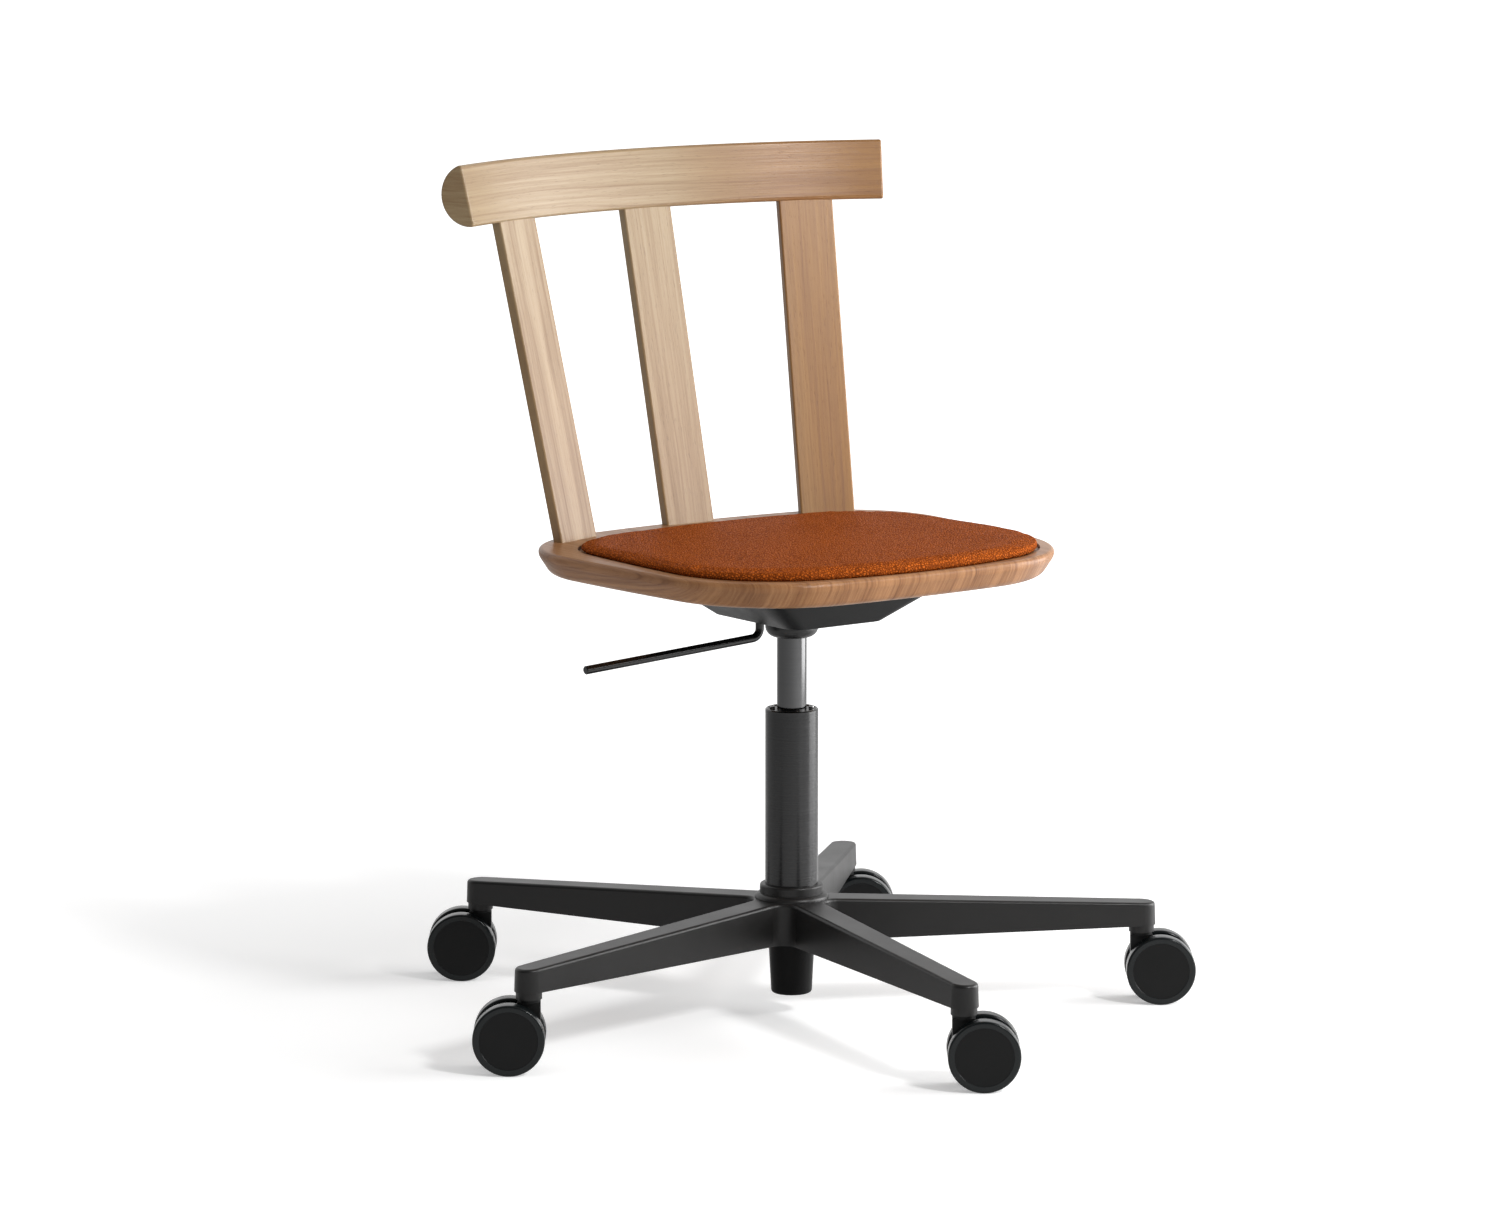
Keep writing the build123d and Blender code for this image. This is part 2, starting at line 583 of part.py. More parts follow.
# Gas cylinder: a bored stem whose tapered tip wedges in the housing's socket
with BuildPart() as gas_cylinder:
    turn(
        (BORE_RADIUS, CYLINDER_FOOT),
        (CYLINDER_RADIUS, CYLINDER_FOOT),
        (CYLINDER_RADIUS, HOUSING_FLOOR),
        (CYLINDER_TIP_DIAMETER / 2, CYLINDER_TIP),
        (PIN_RADIUS + RUNNING_CLEARANCE, CYLINDER_TIP),
        (PIN_RADIUS + RUNNING_CLEARANCE, CYLINDER_CROWN),
        (BORE_RADIUS, CYLINDER_CROWN),
    )
save(gas_cylinder, "gas_cylinder")

seal_top = CYLINDER_FOOT + SEAL_HEIGHT
with BuildPart() as rod_seal:
    turn_ring(BORE_RADIUS - SEATING_CLEARANCE, ROD_RADIUS + RUNNING_CLEARANCE, CYLINDER_FOOT, seal_top)
save(rod_seal, "rod_seal")

collar_foot = HOUSING_FLOOR - COLLAR_HEIGHT
with BuildPart() as column_collar:
    turn_ring(COLLAR_DIAMETER / 2, CYLINDER_RADIUS + SEATING_CLEARANCE, collar_foot, HOUSING_FLOOR)
    collar_edges = column_collar.faces().sort_by(Axis.Z)[0].edges().sort_by(SortBy.LENGTH)
    fillet(collar_edges[-1], COLLAR_EDGE_RADIUS)
save(column_collar, "column_collar")


# Column tube: straight above the hub, tapered through it, closed by a floor that carries the bearing
def tube_outline(clearance):
    """The tube's outside below the hub's top as (radius, height) points."""
    return [
        (TUBE_RADIUS + clearance, TUBE_SHOULDER),
        (TUBE_SHOULDER_DIAMETER / 2 + clearance, TUBE_SHOULDER),
        (TUBE_TAPER_DIAMETER / 2 + clearance, ARM_UNDERSIDE),
        (TUBE_FOOT_DIAMETER / 2 + clearance, TUBE_FOOT),
    ]


shoulder, neck, taper, foot = tube_outline(0.0)
with BuildPart() as column_tube:
    turn(
        (TUBE_BORE_RADIUS, TUBE_TOP),
        (TUBE_RADIUS, TUBE_TOP),
        shoulder,
        neck,
        taper,
        foot,
        (TUBE_RECESS_DIAMETER / 2, TUBE_FOOT),
        (TUBE_RECESS_DIAMETER / 2, TUBE_FLOOR_UNDERSIDE),
        (ROD_END_RADIUS + ROD_HOLE_CLEARANCE, TUBE_FLOOR_UNDERSIDE),
        (ROD_END_RADIUS + ROD_HOLE_CLEARANCE, TUBE_FLOOR),
        (foot[0] - TUBE_FOOT_WALL, TUBE_FLOOR),
        (taper[0] - TUBE_FOOT_WALL, ARM_UNDERSIDE),
        (neck[0] - TUBE_FOOT_WALL, TUBE_SHOULDER),
        (TUBE_BORE_RADIUS, HUB_TOP),
    )
    rim_edges = column_tube.faces().sort_by(Axis.Z)[-1].edges()
    chamfer(rim_edges, TUBE_RIM_CHAMFER)
    foot_edges = column_tube.faces().sort_by(Axis.Z)[0].edges().sort_by(SortBy.LENGTH)
    fillet(foot_edges[-1], TUBE_FOOT_RADIUS)
save(column_tube, "column_tube")

# Guide bush in the tube's mouth, with its two screws
with BuildPart() as guide_bush:
    turn_ring(
        TUBE_BORE_RADIUS - SEATING_CLEARANCE,
        CYLINDER_RADIUS + RUNNING_CLEARANCE,
        BUSH_TOP - BUSH_LENGTH,
        BUSH_TOP,
    )
    with BuildSketch(Plane.XY.offset(BUSH_TOP)):
        with PolarLocations(BUSH_SCREW_RADIUS, BUSH_SCREW_COUNT, start_angle=BUSH_SCREW_TURN):
            Circle(BUSH_SCREW_DIAMETER / 2 + SEATING_CLEARANCE)
    extrude(amount=-BUSH_SCREW_LENGTH, mode=Mode.SUBTRACT)
save(guide_bush, "guide_bush")

with BuildPart() as bush_screws:
    with BuildSketch(Plane.XY.offset(BUSH_TOP)):
        with PolarLocations(BUSH_SCREW_RADIUS, BUSH_SCREW_COUNT, start_angle=BUSH_SCREW_TURN):
            Circle(BUSH_SCREW_DIAMETER / 2)
    extrude(amount=-BUSH_SCREW_LENGTH)
    with BuildSketch(Plane.XY.offset(BUSH_TOP)):
        with PolarLocations(BUSH_SCREW_RADIUS, BUSH_SCREW_COUNT, start_angle=BUSH_SCREW_TURN):
            Circle(BUSH_SCREW_HEAD_DIAMETER / 2)
    extrude(amount=BUSH_SCREW_HEAD_HEIGHT)
    with BuildSketch(Plane.XY.offset(BUSH_TOP + BUSH_SCREW_HEAD_HEIGHT)):
        with PolarLocations(BUSH_SCREW_RADIUS, BUSH_SCREW_COUNT, start_angle=BUSH_SCREW_TURN):
            RegularPolygon(BUSH_SCREW_KEY_SIZE / 2, HEX_SIDES, major_radius=False)
    extrude(amount=-BUSH_SCREW_KEY_DEPTH, mode=Mode.SUBTRACT)
save(bush_screws, "bush_screws")

# Piston rod on its thrust bearing, with the clip under the tube's floor and the rubber bumper above
with BuildPart() as piston_rod:
    turn(
        (0, CLIP_BOTTOM - ROD_TIP_LENGTH),
        (ROD_END_RADIUS, CLIP_BOTTOM - ROD_TIP_LENGTH),
        (ROD_END_RADIUS, CLIP_BOTTOM),
        (CLIP_SEAT_RADIUS, CLIP_BOTTOM),
        (CLIP_SEAT_RADIUS, CLIP_TOP),
        (ROD_END_RADIUS, CLIP_TOP),
        (ROD_END_RADIUS, WASHER_TOP),
        (ROD_RADIUS, WASHER_TOP),
        (ROD_RADIUS, PISTON_BOTTOM),
        (BORE_RADIUS - RUNNING_CLEARANCE, PISTON_BOTTOM),
        (BORE_RADIUS - RUNNING_CLEARANCE, PISTON_TOP),
        (0, PISTON_TOP),
    )
save(piston_rod, "piston_rod")

with BuildPart() as rod_clip:
    turn_ring(CLIP_DIAMETER / 2, CLIP_SEAT_RADIUS + SEATING_CLEARANCE, CLIP_BOTTOM, CLIP_TOP)
    with BuildSketch(Plane.XY.offset(CLIP_BOTTOM)):
        with Locations((CLIP_DIAMETER / 2, 0)):
            Rectangle(CLIP_DIAMETER, 2 * CLIP_SEAT_RADIUS)
    extrude(amount=CLIP_THICKNESS, mode=Mode.SUBTRACT)
save(rod_clip, "rod_clip")

with BuildPart() as bearing_washer:
    turn_ring(WASHER_DIAMETER / 2, ROD_END_RADIUS + SEATING_CLEARANCE, WASHER_BOTTOM, WASHER_TOP)
save(bearing_washer, "bearing_washer")

with BuildPart() as bearing_balls:
    with Locations((0, 0, TUBE_FLOOR + BALL_DIAMETER / 2)):
        with PolarLocations(BALL_CIRCLE_RADIUS, BALL_COUNT):
            Sphere(BALL_DIAMETER / 2 - BALL_CLEARANCE)
save(bearing_balls, "bearing_balls")

with BuildPart() as bump_stop:
    turn_ring(BUMPER_DIAMETER / 2, ROD_RADIUS + SEATING_CLEARANCE, WASHER_TOP, WASHER_TOP + BUMPER_HEIGHT)
    bumper_edges = bump_stop.faces().sort_by(Axis.Z)[-1].edges().sort_by(SortBy.LENGTH)
    chamfer(bumper_edges[-1], BUMPER_EDGE)
save(bump_stop, "bump_stop")

# Five-arm base: arms that taper in plan and in depth, webbed at the hub and hollow underneath
with BuildSketch() as arm_plan:
    Circle(ARM_ROOT_WIDTH / 2)
    with Locations((CASTER_CIRCLE_RADIUS, 0)):
        Circle(ARM_TIP_WIDTH / 2)
    make_hull()

pocket_end = CASTER_CIRCLE_RADIUS - ARM_TIP_WIDTH / 2 - ARM_WALL
pocket_pitch = (pocket_end - ARM_POCKET_START + ARM_RIB_THICKNESS) / ARM_POCKET_COUNT
pocket_length = pocket_pitch - ARM_RIB_THICKNESS
arm_slope = (ARM_ROOT_WIDTH - ARM_TIP_WIDTH) / CASTER_CIRCLE_RADIUS
pocket_height = ARM_TIP_TOP - ARM_WALL - ARM_UNDERSIDE
arm_reach = CASTER_CIRCLE_RADIUS + ARM_TIP_WIDTH
arm_fall = (ARM_ROOT_TOP - ARM_TIP_TOP) / CASTER_CIRCLE_RADIUS
hub_side = HUB_RING_DIAMETER / 2
hub_flare = hub_side + HUB_FOOT_RADIUS
arm_lift = ARM_TIP_RISE / (CASTER_CIRCLE_RADIUS - hub_flare)
hub_foot = ARM_ROOT_TOP - arm_fall * hub_flare
hub_curve_top = hub_foot + HUB_FOOT_RADIUS

with BuildPart() as star_base:
    with BuildSketch(Plane.XY.offset(ARM_UNDERSIDE)) as star_plan:
        with PolarLocations(0, ARM_COUNT, start_angle=BASE_TURN):
            add(arm_plan.sketch)
        fillet(star_plan.vertices().sort_by_distance((0, 0, 0))[:ARM_COUNT], ARM_WEB_RADIUS)
    extrude(amount=HUB_TOP - ARM_UNDERSIDE, taper=ARM_DRAFT_ANGLE)
    with BuildSketch(Plane.XZ):
        with BuildLine():
            Polyline(
                (0, ARM_UNDERSIDE),
                (hub_flare, ARM_UNDERSIDE),
                (arm_reach, ARM_UNDERSIDE + arm_lift * (arm_reach - hub_flare)),
                (arm_reach, ARM_ROOT_TOP - arm_fall * arm_reach),
                (0, ARM_ROOT_TOP),
                close=True,
            )
        make_face()
    revolve(axis=Axis.Z, mode=Mode.INTERSECT)
    arm_top = star_base.faces().filter_by(GeomType.CONE).sort_by(SortBy.AREA)[-1]
    fillet(arm_top.outer_wire().edges(), ARM_EDGE_RADIUS)
    with BuildSketch(Plane.XZ):
        with BuildLine():
            Polyline((hub_side, hub_curve_top), (hub_side, HUB_TOP), (0, HUB_TOP), (0, ARM_UNDERSIDE))
            Polyline((0, ARM_UNDERSIDE), (hub_flare, ARM_UNDERSIDE), (hub_flare, hub_foot))
            RadiusArc((hub_flare, hub_foot), (hub_side, hub_curve_top), -HUB_FOOT_RADIUS)
        make_face()
    revolve(axis=Axis.Z)
    hub_rim = star_base.faces().sort_by(Axis.Z)[-1].edges()
    fillet(hub_rim, HUB_EDGE_RADIUS)
    with BuildSketch(Plane.XY.offset(BOSS_UNDERSIDE)):
        with PolarLocations(CASTER_CIRCLE_RADIUS, ARM_COUNT, start_angle=BASE_TURN):
            Circle(BOSS_DIAMETER / 2)
    extrude(amount=BOSS_DROP + 2 * ARM_TIP_RISE)
    with BuildSketch(Plane.XY.offset(ARM_UNDERSIDE)):
        for number in range(ARM_POCKET_COUNT):
            start = ARM_POCKET_START + number * pocket_pitch
            with PolarLocations(start + pocket_length / 2, ARM_COUNT, start_angle=BASE_TURN):
                width = ARM_ROOT_WIDTH - arm_slope * (start + pocket_length) - 2 * ARM_WALL
                RectangleRounded(pocket_length, width, ARM_POCKET_CORNER)
    extrude(amount=pocket_height, mode=Mode.SUBTRACT)
    turn(
        (0, HUB_TOP),
        (TUBE_RADIUS + SEATING_CLEARANCE, HUB_TOP),
        *tube_outline(SEATING_CLEARANCE),
        (0, TUBE_FOOT),
        mode=Mode.SUBTRACT,
    )
    with BuildSketch(Plane.XY.offset(BOSS_UNDERSIDE)):
        with PolarLocations(CASTER_CIRCLE_RADIUS, ARM_COUNT, start_angle=BASE_TURN):
            Circle(STEM_RADIUS + RUNNING_CLEARANCE)
    extrude(amount=STEM_ENGAGEMENT, mode=Mode.SUBTRACT)
save(star_base, "star_base")


# Casters: a frame between two wheels, on a stem that turns in the arm's boss
def wheel_profile(side, points):
    """Turn (distance along the axle, radius) points about the axle, on one side of the frame."""
    with BuildPart() as body:
        with BuildSketch(Plane(origin=axle_centre, x_dir=side * across, z_dir=trail)):
            with BuildLine():
                Polyline(*points, close=True)
            make_face()
        revolve(axis=Axis(axle_centre, across))
    return body


web_inner = WHEEL_OUTER - WHEEL_WEB
bore_end = WHEEL_OUTER - WHEEL_SKIN
wheel_points = [
    (WHEEL_INNER, AXLE_RADIUS + RUNNING_CLEARANCE),
    (WHEEL_INNER, WHEEL_HUB_DIAMETER / 2),
    (web_inner, WHEEL_HUB_DIAMETER / 2),
    (web_inner, RIM_RADIUS - WHEEL_RIM_THICKNESS),
    (WHEEL_INNER, RIM_RADIUS - WHEEL_RIM_THICKNESS),
    (WHEEL_INNER, RIM_RADIUS),
    (WHEEL_OUTER - WHEEL_FACE_CHAMFER, RIM_RADIUS),
    (WHEEL_OUTER, RIM_RADIUS - WHEEL_FACE_CHAMFER),
    (WHEEL_OUTER, 0),
    (bore_end, 0),
    (bore_end, AXLE_RADIUS + RUNNING_CLEARANCE),
]
tyre_points = [
    (WHEEL_INNER, RIM_RADIUS),
    (WHEEL_INNER, WHEEL_RADIUS - TYRE_EDGE),
    (WHEEL_INNER + TYRE_EDGE, WHEEL_RADIUS),
    (WHEEL_OUTER - TYRE_EDGE, WHEEL_RADIUS),
    (WHEEL_OUTER, WHEEL_RADIUS - TYRE_EDGE),
    (WHEEL_OUTER, RIM_RADIUS + WHEEL_FACE_CHAMFER),
    (WHEEL_OUTER - WHEEL_FACE_CHAMFER, RIM_RADIUS),
]
up = Vector(0, 0, 1)
for number, sign in enumerate(TRAIL_SIGNS, start=1):
    arm_angle = math.radians(BASE_TURN + (number - 1) * 360 / ARM_COUNT)
    roll_angle = math.radians(ROLL_TURN)
    pivot = Vector(math.cos(arm_angle), math.sin(arm_angle), 0) * CASTER_CIRCLE_RADIUS
    trail = Vector(math.cos(roll_angle), math.sin(roll_angle), 0) * sign
    across = up.cross(trail)
    axle_centre = pivot + trail * CASTER_TRAIL + up * WHEEL_RADIUS
    side_view = Plane(origin=pivot, x_dir=trail, z_dir=trail.cross(up))
    swivel_plane = Plane(origin=pivot + up * STEM_FOOT, x_dir=trail, z_dir=up)

    with BuildPart() as caster_frame:
        with BuildSketch(side_view):
            with Locations((CASTER_TRAIL, WHEEL_RADIUS)):
                Circle(CASTER_FRAME_RADIUS)
            with Locations((0, (WHEEL_RADIUS + CASTER_SHOULDER) / 2)):
                Rectangle(CASTER_NECK_WIDTH, CASTER_SHOULDER - WHEEL_RADIUS)
        extrude(amount=CASTER_FRAME_WIDTH / 2, both=True)
        with BuildSketch(swivel_plane.offset(CASTER_SHOULDER - STEM_FOOT)):
            Circle(CASTER_NECK_WIDTH / 2)
        extrude(amount=CASTER_FLANGE_THICKNESS)
        with BuildSketch(swivel_plane):
            Circle(STEM_RADIUS + SEATING_CLEARANCE)
        extrude(amount=STEM_ROOT, mode=Mode.SUBTRACT)
        with BuildSketch(side_view):
            with Locations((CASTER_TRAIL, WHEEL_RADIUS)):
                Circle(AXLE_RADIUS + SEATING_CLEARANCE)
        extrude(amount=CASTER_FRAME_WIDTH / 2, both=True, mode=Mode.SUBTRACT)
    save(caster_frame, f"caster_{number}_frame")

    with BuildPart() as caster_stem:
        with BuildSketch(swivel_plane):
            Circle(STEM_RADIUS)
        extrude(amount=STEM_TOP - STEM_FOOT)
        chamfer(caster_stem.faces().sort_by(Axis.Z)[-1].edges(), STEM_LEAD)
        with BuildSketch(swivel_plane.offset(STEM_ROOT + STEM_GROOVE_RISE)):
            Circle(STEM_RADIUS)
            Circle(STEM_RADIUS - STEM_GROOVE_DEPTH, mode=Mode.SUBTRACT)
        extrude(amount=STEM_GROOVE_WIDTH, mode=Mode.SUBTRACT)
    save(caster_stem, f"caster_{number}_stem")

    with BuildPart() as caster_axle:
        with BuildSketch(side_view):
            with Locations((CASTER_TRAIL, WHEEL_RADIUS)):
                Circle(AXLE_RADIUS)
        extrude(amount=AXLE_END, both=True)
    save(caster_axle, f"caster_{number}_axle")

    for side, direction in (("left", 1), ("right", -1)):
        save(wheel_profile(direction, wheel_points), f"caster_{number}_{side}_wheel")
        save(wheel_profile(direction, tyre_points), f"caster_{number}_{side}_tyre")
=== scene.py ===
# %% [markdown]
# # A wooden swivel chair
# The chair stands on a five-arm base with twin-wheel casters. Its shape comes from a CAD model, so
# this lesson loads that model and gives every piece its finish: light wood, tan leather, dark
# coated metal, brushed steel, black plastic and soft tread. Two kinds of piece are modelled again
# here, because a solid model can't show them well: the stuffed leather pad and the rounded tyres.

import math

import bpy
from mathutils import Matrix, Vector


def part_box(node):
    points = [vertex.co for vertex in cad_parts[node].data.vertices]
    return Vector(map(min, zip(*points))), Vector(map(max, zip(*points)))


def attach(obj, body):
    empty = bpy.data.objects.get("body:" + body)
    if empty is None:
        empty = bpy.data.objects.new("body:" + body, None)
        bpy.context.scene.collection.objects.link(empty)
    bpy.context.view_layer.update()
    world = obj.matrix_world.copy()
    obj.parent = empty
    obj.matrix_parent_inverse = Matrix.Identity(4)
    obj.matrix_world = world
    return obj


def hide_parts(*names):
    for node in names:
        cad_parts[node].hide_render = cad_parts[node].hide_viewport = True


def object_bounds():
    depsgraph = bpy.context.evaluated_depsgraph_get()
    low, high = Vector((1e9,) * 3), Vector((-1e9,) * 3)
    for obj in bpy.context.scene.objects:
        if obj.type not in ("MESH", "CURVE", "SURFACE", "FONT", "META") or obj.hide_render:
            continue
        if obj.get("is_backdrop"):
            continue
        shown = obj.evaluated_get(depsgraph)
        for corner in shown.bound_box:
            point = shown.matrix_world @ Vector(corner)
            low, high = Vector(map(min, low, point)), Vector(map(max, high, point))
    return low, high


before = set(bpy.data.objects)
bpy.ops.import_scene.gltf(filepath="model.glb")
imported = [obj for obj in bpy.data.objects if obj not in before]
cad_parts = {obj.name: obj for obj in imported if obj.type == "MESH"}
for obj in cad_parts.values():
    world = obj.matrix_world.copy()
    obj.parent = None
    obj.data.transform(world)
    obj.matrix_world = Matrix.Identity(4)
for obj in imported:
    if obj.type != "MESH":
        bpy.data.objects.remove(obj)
cad_low, cad_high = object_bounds()
scene = bpy.context.scene
cad_size = [round(x, 4) for x in cad_high - cad_low]
print("chair loaded:", len(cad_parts), "pieces,", cad_size, "m")

# %% [markdown]
# ## The camera
# The photograph was taken from the front and the chair's right, with a long lens from about five
# and a half metres. A long lens keeps the casters and the back at nearly the same scale. The camera
# could be tracked to a target, but a plain location and rotation are easier to read and never
# drift. A small function turns places as the photographer sees them into places of the scene.

# %% Camera
VIEW_TURN = math.radians(36.33)
VIEW_TILT = math.radians(9.156)
CAMERA_RIGHT = -0.03925
CAMERA_AWAY = -5.6335
CAMERA_UP = 1.2991
LENS_MM = 146.16
SENSOR_MM = 36
VIEW_END = 100


def from_view(right, away, up):
    """A point as the photographer sees it: metres right, away and up from the chair's foot."""
    x = right * math.cos(VIEW_TURN) + away * math.sin(VIEW_TURN)
    y = away * math.cos(VIEW_TURN) - right * math.sin(VIEW_TURN)
    return Vector((x, y, up))


bpy.ops.object.select_all(action="DESELECT")
bpy.ops.object.camera_add(
    location=from_view(CAMERA_RIGHT, CAMERA_AWAY, CAMERA_UP),
    rotation=(math.pi / 2 - VIEW_TILT, 0, -VIEW_TURN),
)
camera = bpy.context.active_object
camera.name = "photographer"
camera.data.lens = LENS_MM
camera.data.sensor_width = SENSOR_MM
camera.data.sensor_fit = "HORIZONTAL"
camera.data.clip_end = VIEW_END
scene.camera = camera
scene.view_settings.view_transform = "Standard"
print("camera at", [round(x, 2) for x in camera.location], "with a lens of", LENS_MM, "mm")

# %% [markdown]
# ## Building materials from nodes
# A material is a small network of nodes. Typing every link by hand gets long, so a few helpers are
# defined first. These three add a node with its values, start a material whose main shader is
# ready, and start a group of nodes that several materials can share. Patterns read Object
# coordinates, which are metres in the chair's own frame, so a millimetre of grain is a millimetre
# on every piece.

# %% Node helpers
COLOUR = "NodeSocketColor"
VALUE = "NodeSocketFloat"
VECTOR = "NodeSocketVector"


def add_node(tree, kind, values=None, **settings):
    """Add a node. Settings are its buttons. Values go to its inputs, and a socket is linked."""
    node = tree.nodes.new(kind)
    for key, value in settings.items():
        setattr(node, key, value)
    for key, value in (values or {}).items():
        if isinstance(value, bpy.types.NodeSocket):
            tree.links.new(value, node.inputs[key])
        else:
            node.inputs[key].default_value = value
    return node


def start_material(name, **values):
    """A new material, its tree and Principled shader, and the Object coordinates for patterns."""
    material = bpy.data.materials.new(name)
    material.use_nodes = True
    tree = material.node_tree
    shader = tree.nodes["Principled BSDF"]
    for key, value in values.items():
        shader.inputs[key.replace("_", " ")].default_value = value
    place = add_node(tree, "ShaderNodeTexCoord").outputs["Object"]
    return material, tree, shader, place


def start_group(name, inputs, outputs):
    """A new node group with named sockets, given as pairs of a name and a socket type."""
    group = bpy.data.node_groups.new(name, "ShaderNodeTree")
    for label, kind in inputs:
        group.interface.new_socket(name=label, in_out="INPUT", socket_type=kind)
    for label, kind in outputs:
        group.interface.new_socket(name=label, in_out="OUTPUT", socket_type=kind)
    entry = group.nodes.new("NodeGroupInput")
    result = group.nodes.new("NodeGroupOutput")
    return group, entry.outputs, result.inputs


print("node helpers ready")

# %% [markdown]
# ## Small tools for patterns
# Almost every surface here is a noise that is stretched, turned into a mask, and used to mix two
# colours or to raise a bump. Each of these steps is one or two nodes, and gets a name of its own,
# so that the materials below read like recipes.

# %% Pattern helpers


def stretched_noise(tree, place, stretch, detail, roughness):
    """Noise that is drawn out: stretch is how many ripples a metre has along each axis."""
    drawn = add_node(tree, "ShaderNodeMapping", {"Vector": place, "Scale": stretch})
    values = {"Vector": drawn.outputs["Vector"], "Scale": 1.0}
    values.update({"Detail": detail, "Roughness": roughness})
    return add_node(tree, "ShaderNodeTexNoise", values).outputs["Fac"]


def reach(tree, value, low, high, bottom=0.0, top=1.0):
    """Stretch the part of a value between low and high over bottom to top."""
    values = {"Value": value, "From Min": low, "From Max": high, "To Min": bottom, "To Max": top}
    return add_node(tree, "ShaderNodeMapRange", values, clamp=True).outputs["Result"]


def combine(tree, operation, first, second):
    """One sum with two values."""
    node = add_node(tree, "ShaderNodeMath", {0: first, 1: second}, operation=operation)
    return node.outputs["Value"]


def combine_places(tree, operation, first, second):
    """One sum with two vectors."""
    node = add_node(tree, "ShaderNodeVectorMath", {0: first, 1: second}, operation=operation)
    return node.outputs["Vector"]


def length_of(tree, place):
    """How far a place is from the origin."""
    return add_node(tree, "ShaderNodeVectorMath", {0: place}, operation="LENGTH").outputs["Value"]


def join_place(tree, x, y, z):
    """A vector from three values."""
    return add_node(tree, "ShaderNodeCombineXYZ", {"X": x, "Y": y, "Z": z}).outputs["Vector"]


def split_place(tree, place):
    """The three values of a vector, found under X, Y and Z."""
    return add_node(tree, "ShaderNodeSeparateXYZ", {"Vector": place}).outputs


def blend_colours(tree, factor, first, second, how="MIX"):
    """Mix two colours by a factor."""
    values = {0: factor, 6: first, 7: second}
    return add_node(tree, "ShaderNodeMix", values, data_type="RGBA", blend_type=how).outputs[2]


def blend_values(tree, factor, first, second):
    """Mix two values by a factor."""
    values = {0: factor, 2: first, 3: second}
    return add_node(tree, "ShaderNodeMix", values, data_type="FLOAT").outputs[0]


def raise_surface(tree, shader, height, distance):
    """Turn a height into a bump, as deep as the distance in metres."""
    values = {"Height": height, "Distance": distance, "Strength": 1.0}
    bump = add_node(tree, "ShaderNodeBump", values)
    tree.links.new(bump.outputs["Normal"], shader.inputs["Normal"])


print("pattern helpers ready")

# %% [markdown]
# ## Wood grain
# Seat, slats and crest rail are one pale hardwood with a clear satin lacquer. Its grain is long:
# broad bands of growth, thin lines and finer fibres along them, and short dark pores. One noise,
# stretched along the grain by different amounts, gives them all. A picture of wood would end at
# every edge, but this noise is solid, so the bands turn into end grain by themselves where a board
# is cut across. The group takes a place along, across and into the grain, so that each board can
# lie its own way.

# %% Grain group
WANDER = 0.006
BAND_SHARE = 0.32
LINE_SHARE = 0.3
FIBRE_SHARE = 0.28
DRIFT_SHARE = 0.1
PORE_SHARE = 0.3
SATIN = (0.31, 0.40)

grain, grain_in, grain_out = start_group(
    "wood_grain",
    [("Place", VECTOR), ("Pale", COLOUR), ("Dark", COLOUR)],
    [("Colour", COLOUR), ("Roughness", VALUE), ("Height", VALUE)],
)


def grain_mask(place, stretch, detail, roughness, low, high):
    """One pattern of the grain as a mask that is 0 below low and 1 above high."""
    return reach(grain, stretched_noise(grain, place, stretch, detail, roughness), low, high)


straight = grain_in["Place"]
wander = stretched_noise(grain, straight, (3.5, 26, 9), detail=2.0, roughness=0.5)
aside = join_place(grain, 0.0, reach(grain, wander, 0.2, 0.8, -WANDER, WANDER), 0.0)
wavy = combine_places(grain, "ADD", straight, aside)
bands = grain_mask(wavy, (1.6, 70, 10), detail=2.0, roughness=0.55, low=0.36, high=0.64)
lines = grain_mask(wavy, (2.6, 260, 14), detail=2.0, roughness=0.6, low=0.52, high=0.72)
fibres = grain_mask(straight, (10, 430, 30), detail=3.0, roughness=0.65, low=0.36, high=0.64)
pores = grain_mask(straight, (120, 1500, 1500), detail=1.0, roughness=0.5, low=0.62, high=0.74)
drift = grain_mask(straight, (2.2, 13, 9), detail=1.0, roughness=0.5, low=0.32, high=0.68)

streaks = combine(grain, "MULTIPLY", bands, BAND_SHARE)
for mask, share in ((lines, LINE_SHARE), (fibres, FIBRE_SHARE), (drift, DRIFT_SHARE)):
    streaks = combine(grain, "ADD", streaks, combine(grain, "MULTIPLY", mask, share))
board_colour = blend_colours(grain, streaks, grain_in["Pale"], grain_in["Dark"])
pored = combine(grain, "MULTIPLY", pores, PORE_SHARE)
board_colour = blend_colours(grain, pored, board_colour, grain_in["Dark"], "MULTIPLY")
grain.links.new(board_colour, grain_out["Colour"])
grain.links.new(reach(grain, streaks, 0.2, 0.8, *SATIN), grain_out["Roughness"])
grain.links.new(combine(grain, "SUBTRACT", fibres, pores), grain_out["Height"])
print("grain group:", len(grain.nodes), "nodes")

# %% [markdown]
# ## Grain that follows the back
# The slats stand round an upright axis in front of the seat, and the crest rail is bent round it. A
# straight grain would run out of the rail's side, which bent wood doesn't do. A second group
# therefore unrolls the back: it gives the way round the axis, the height, and the depth behind the
# leaning face.

# %% Unrolled back group
BACK_AXIS_Y = -0.300
BACK_RADIUS = 0.461
BACK_LEAN = math.radians(13.4)

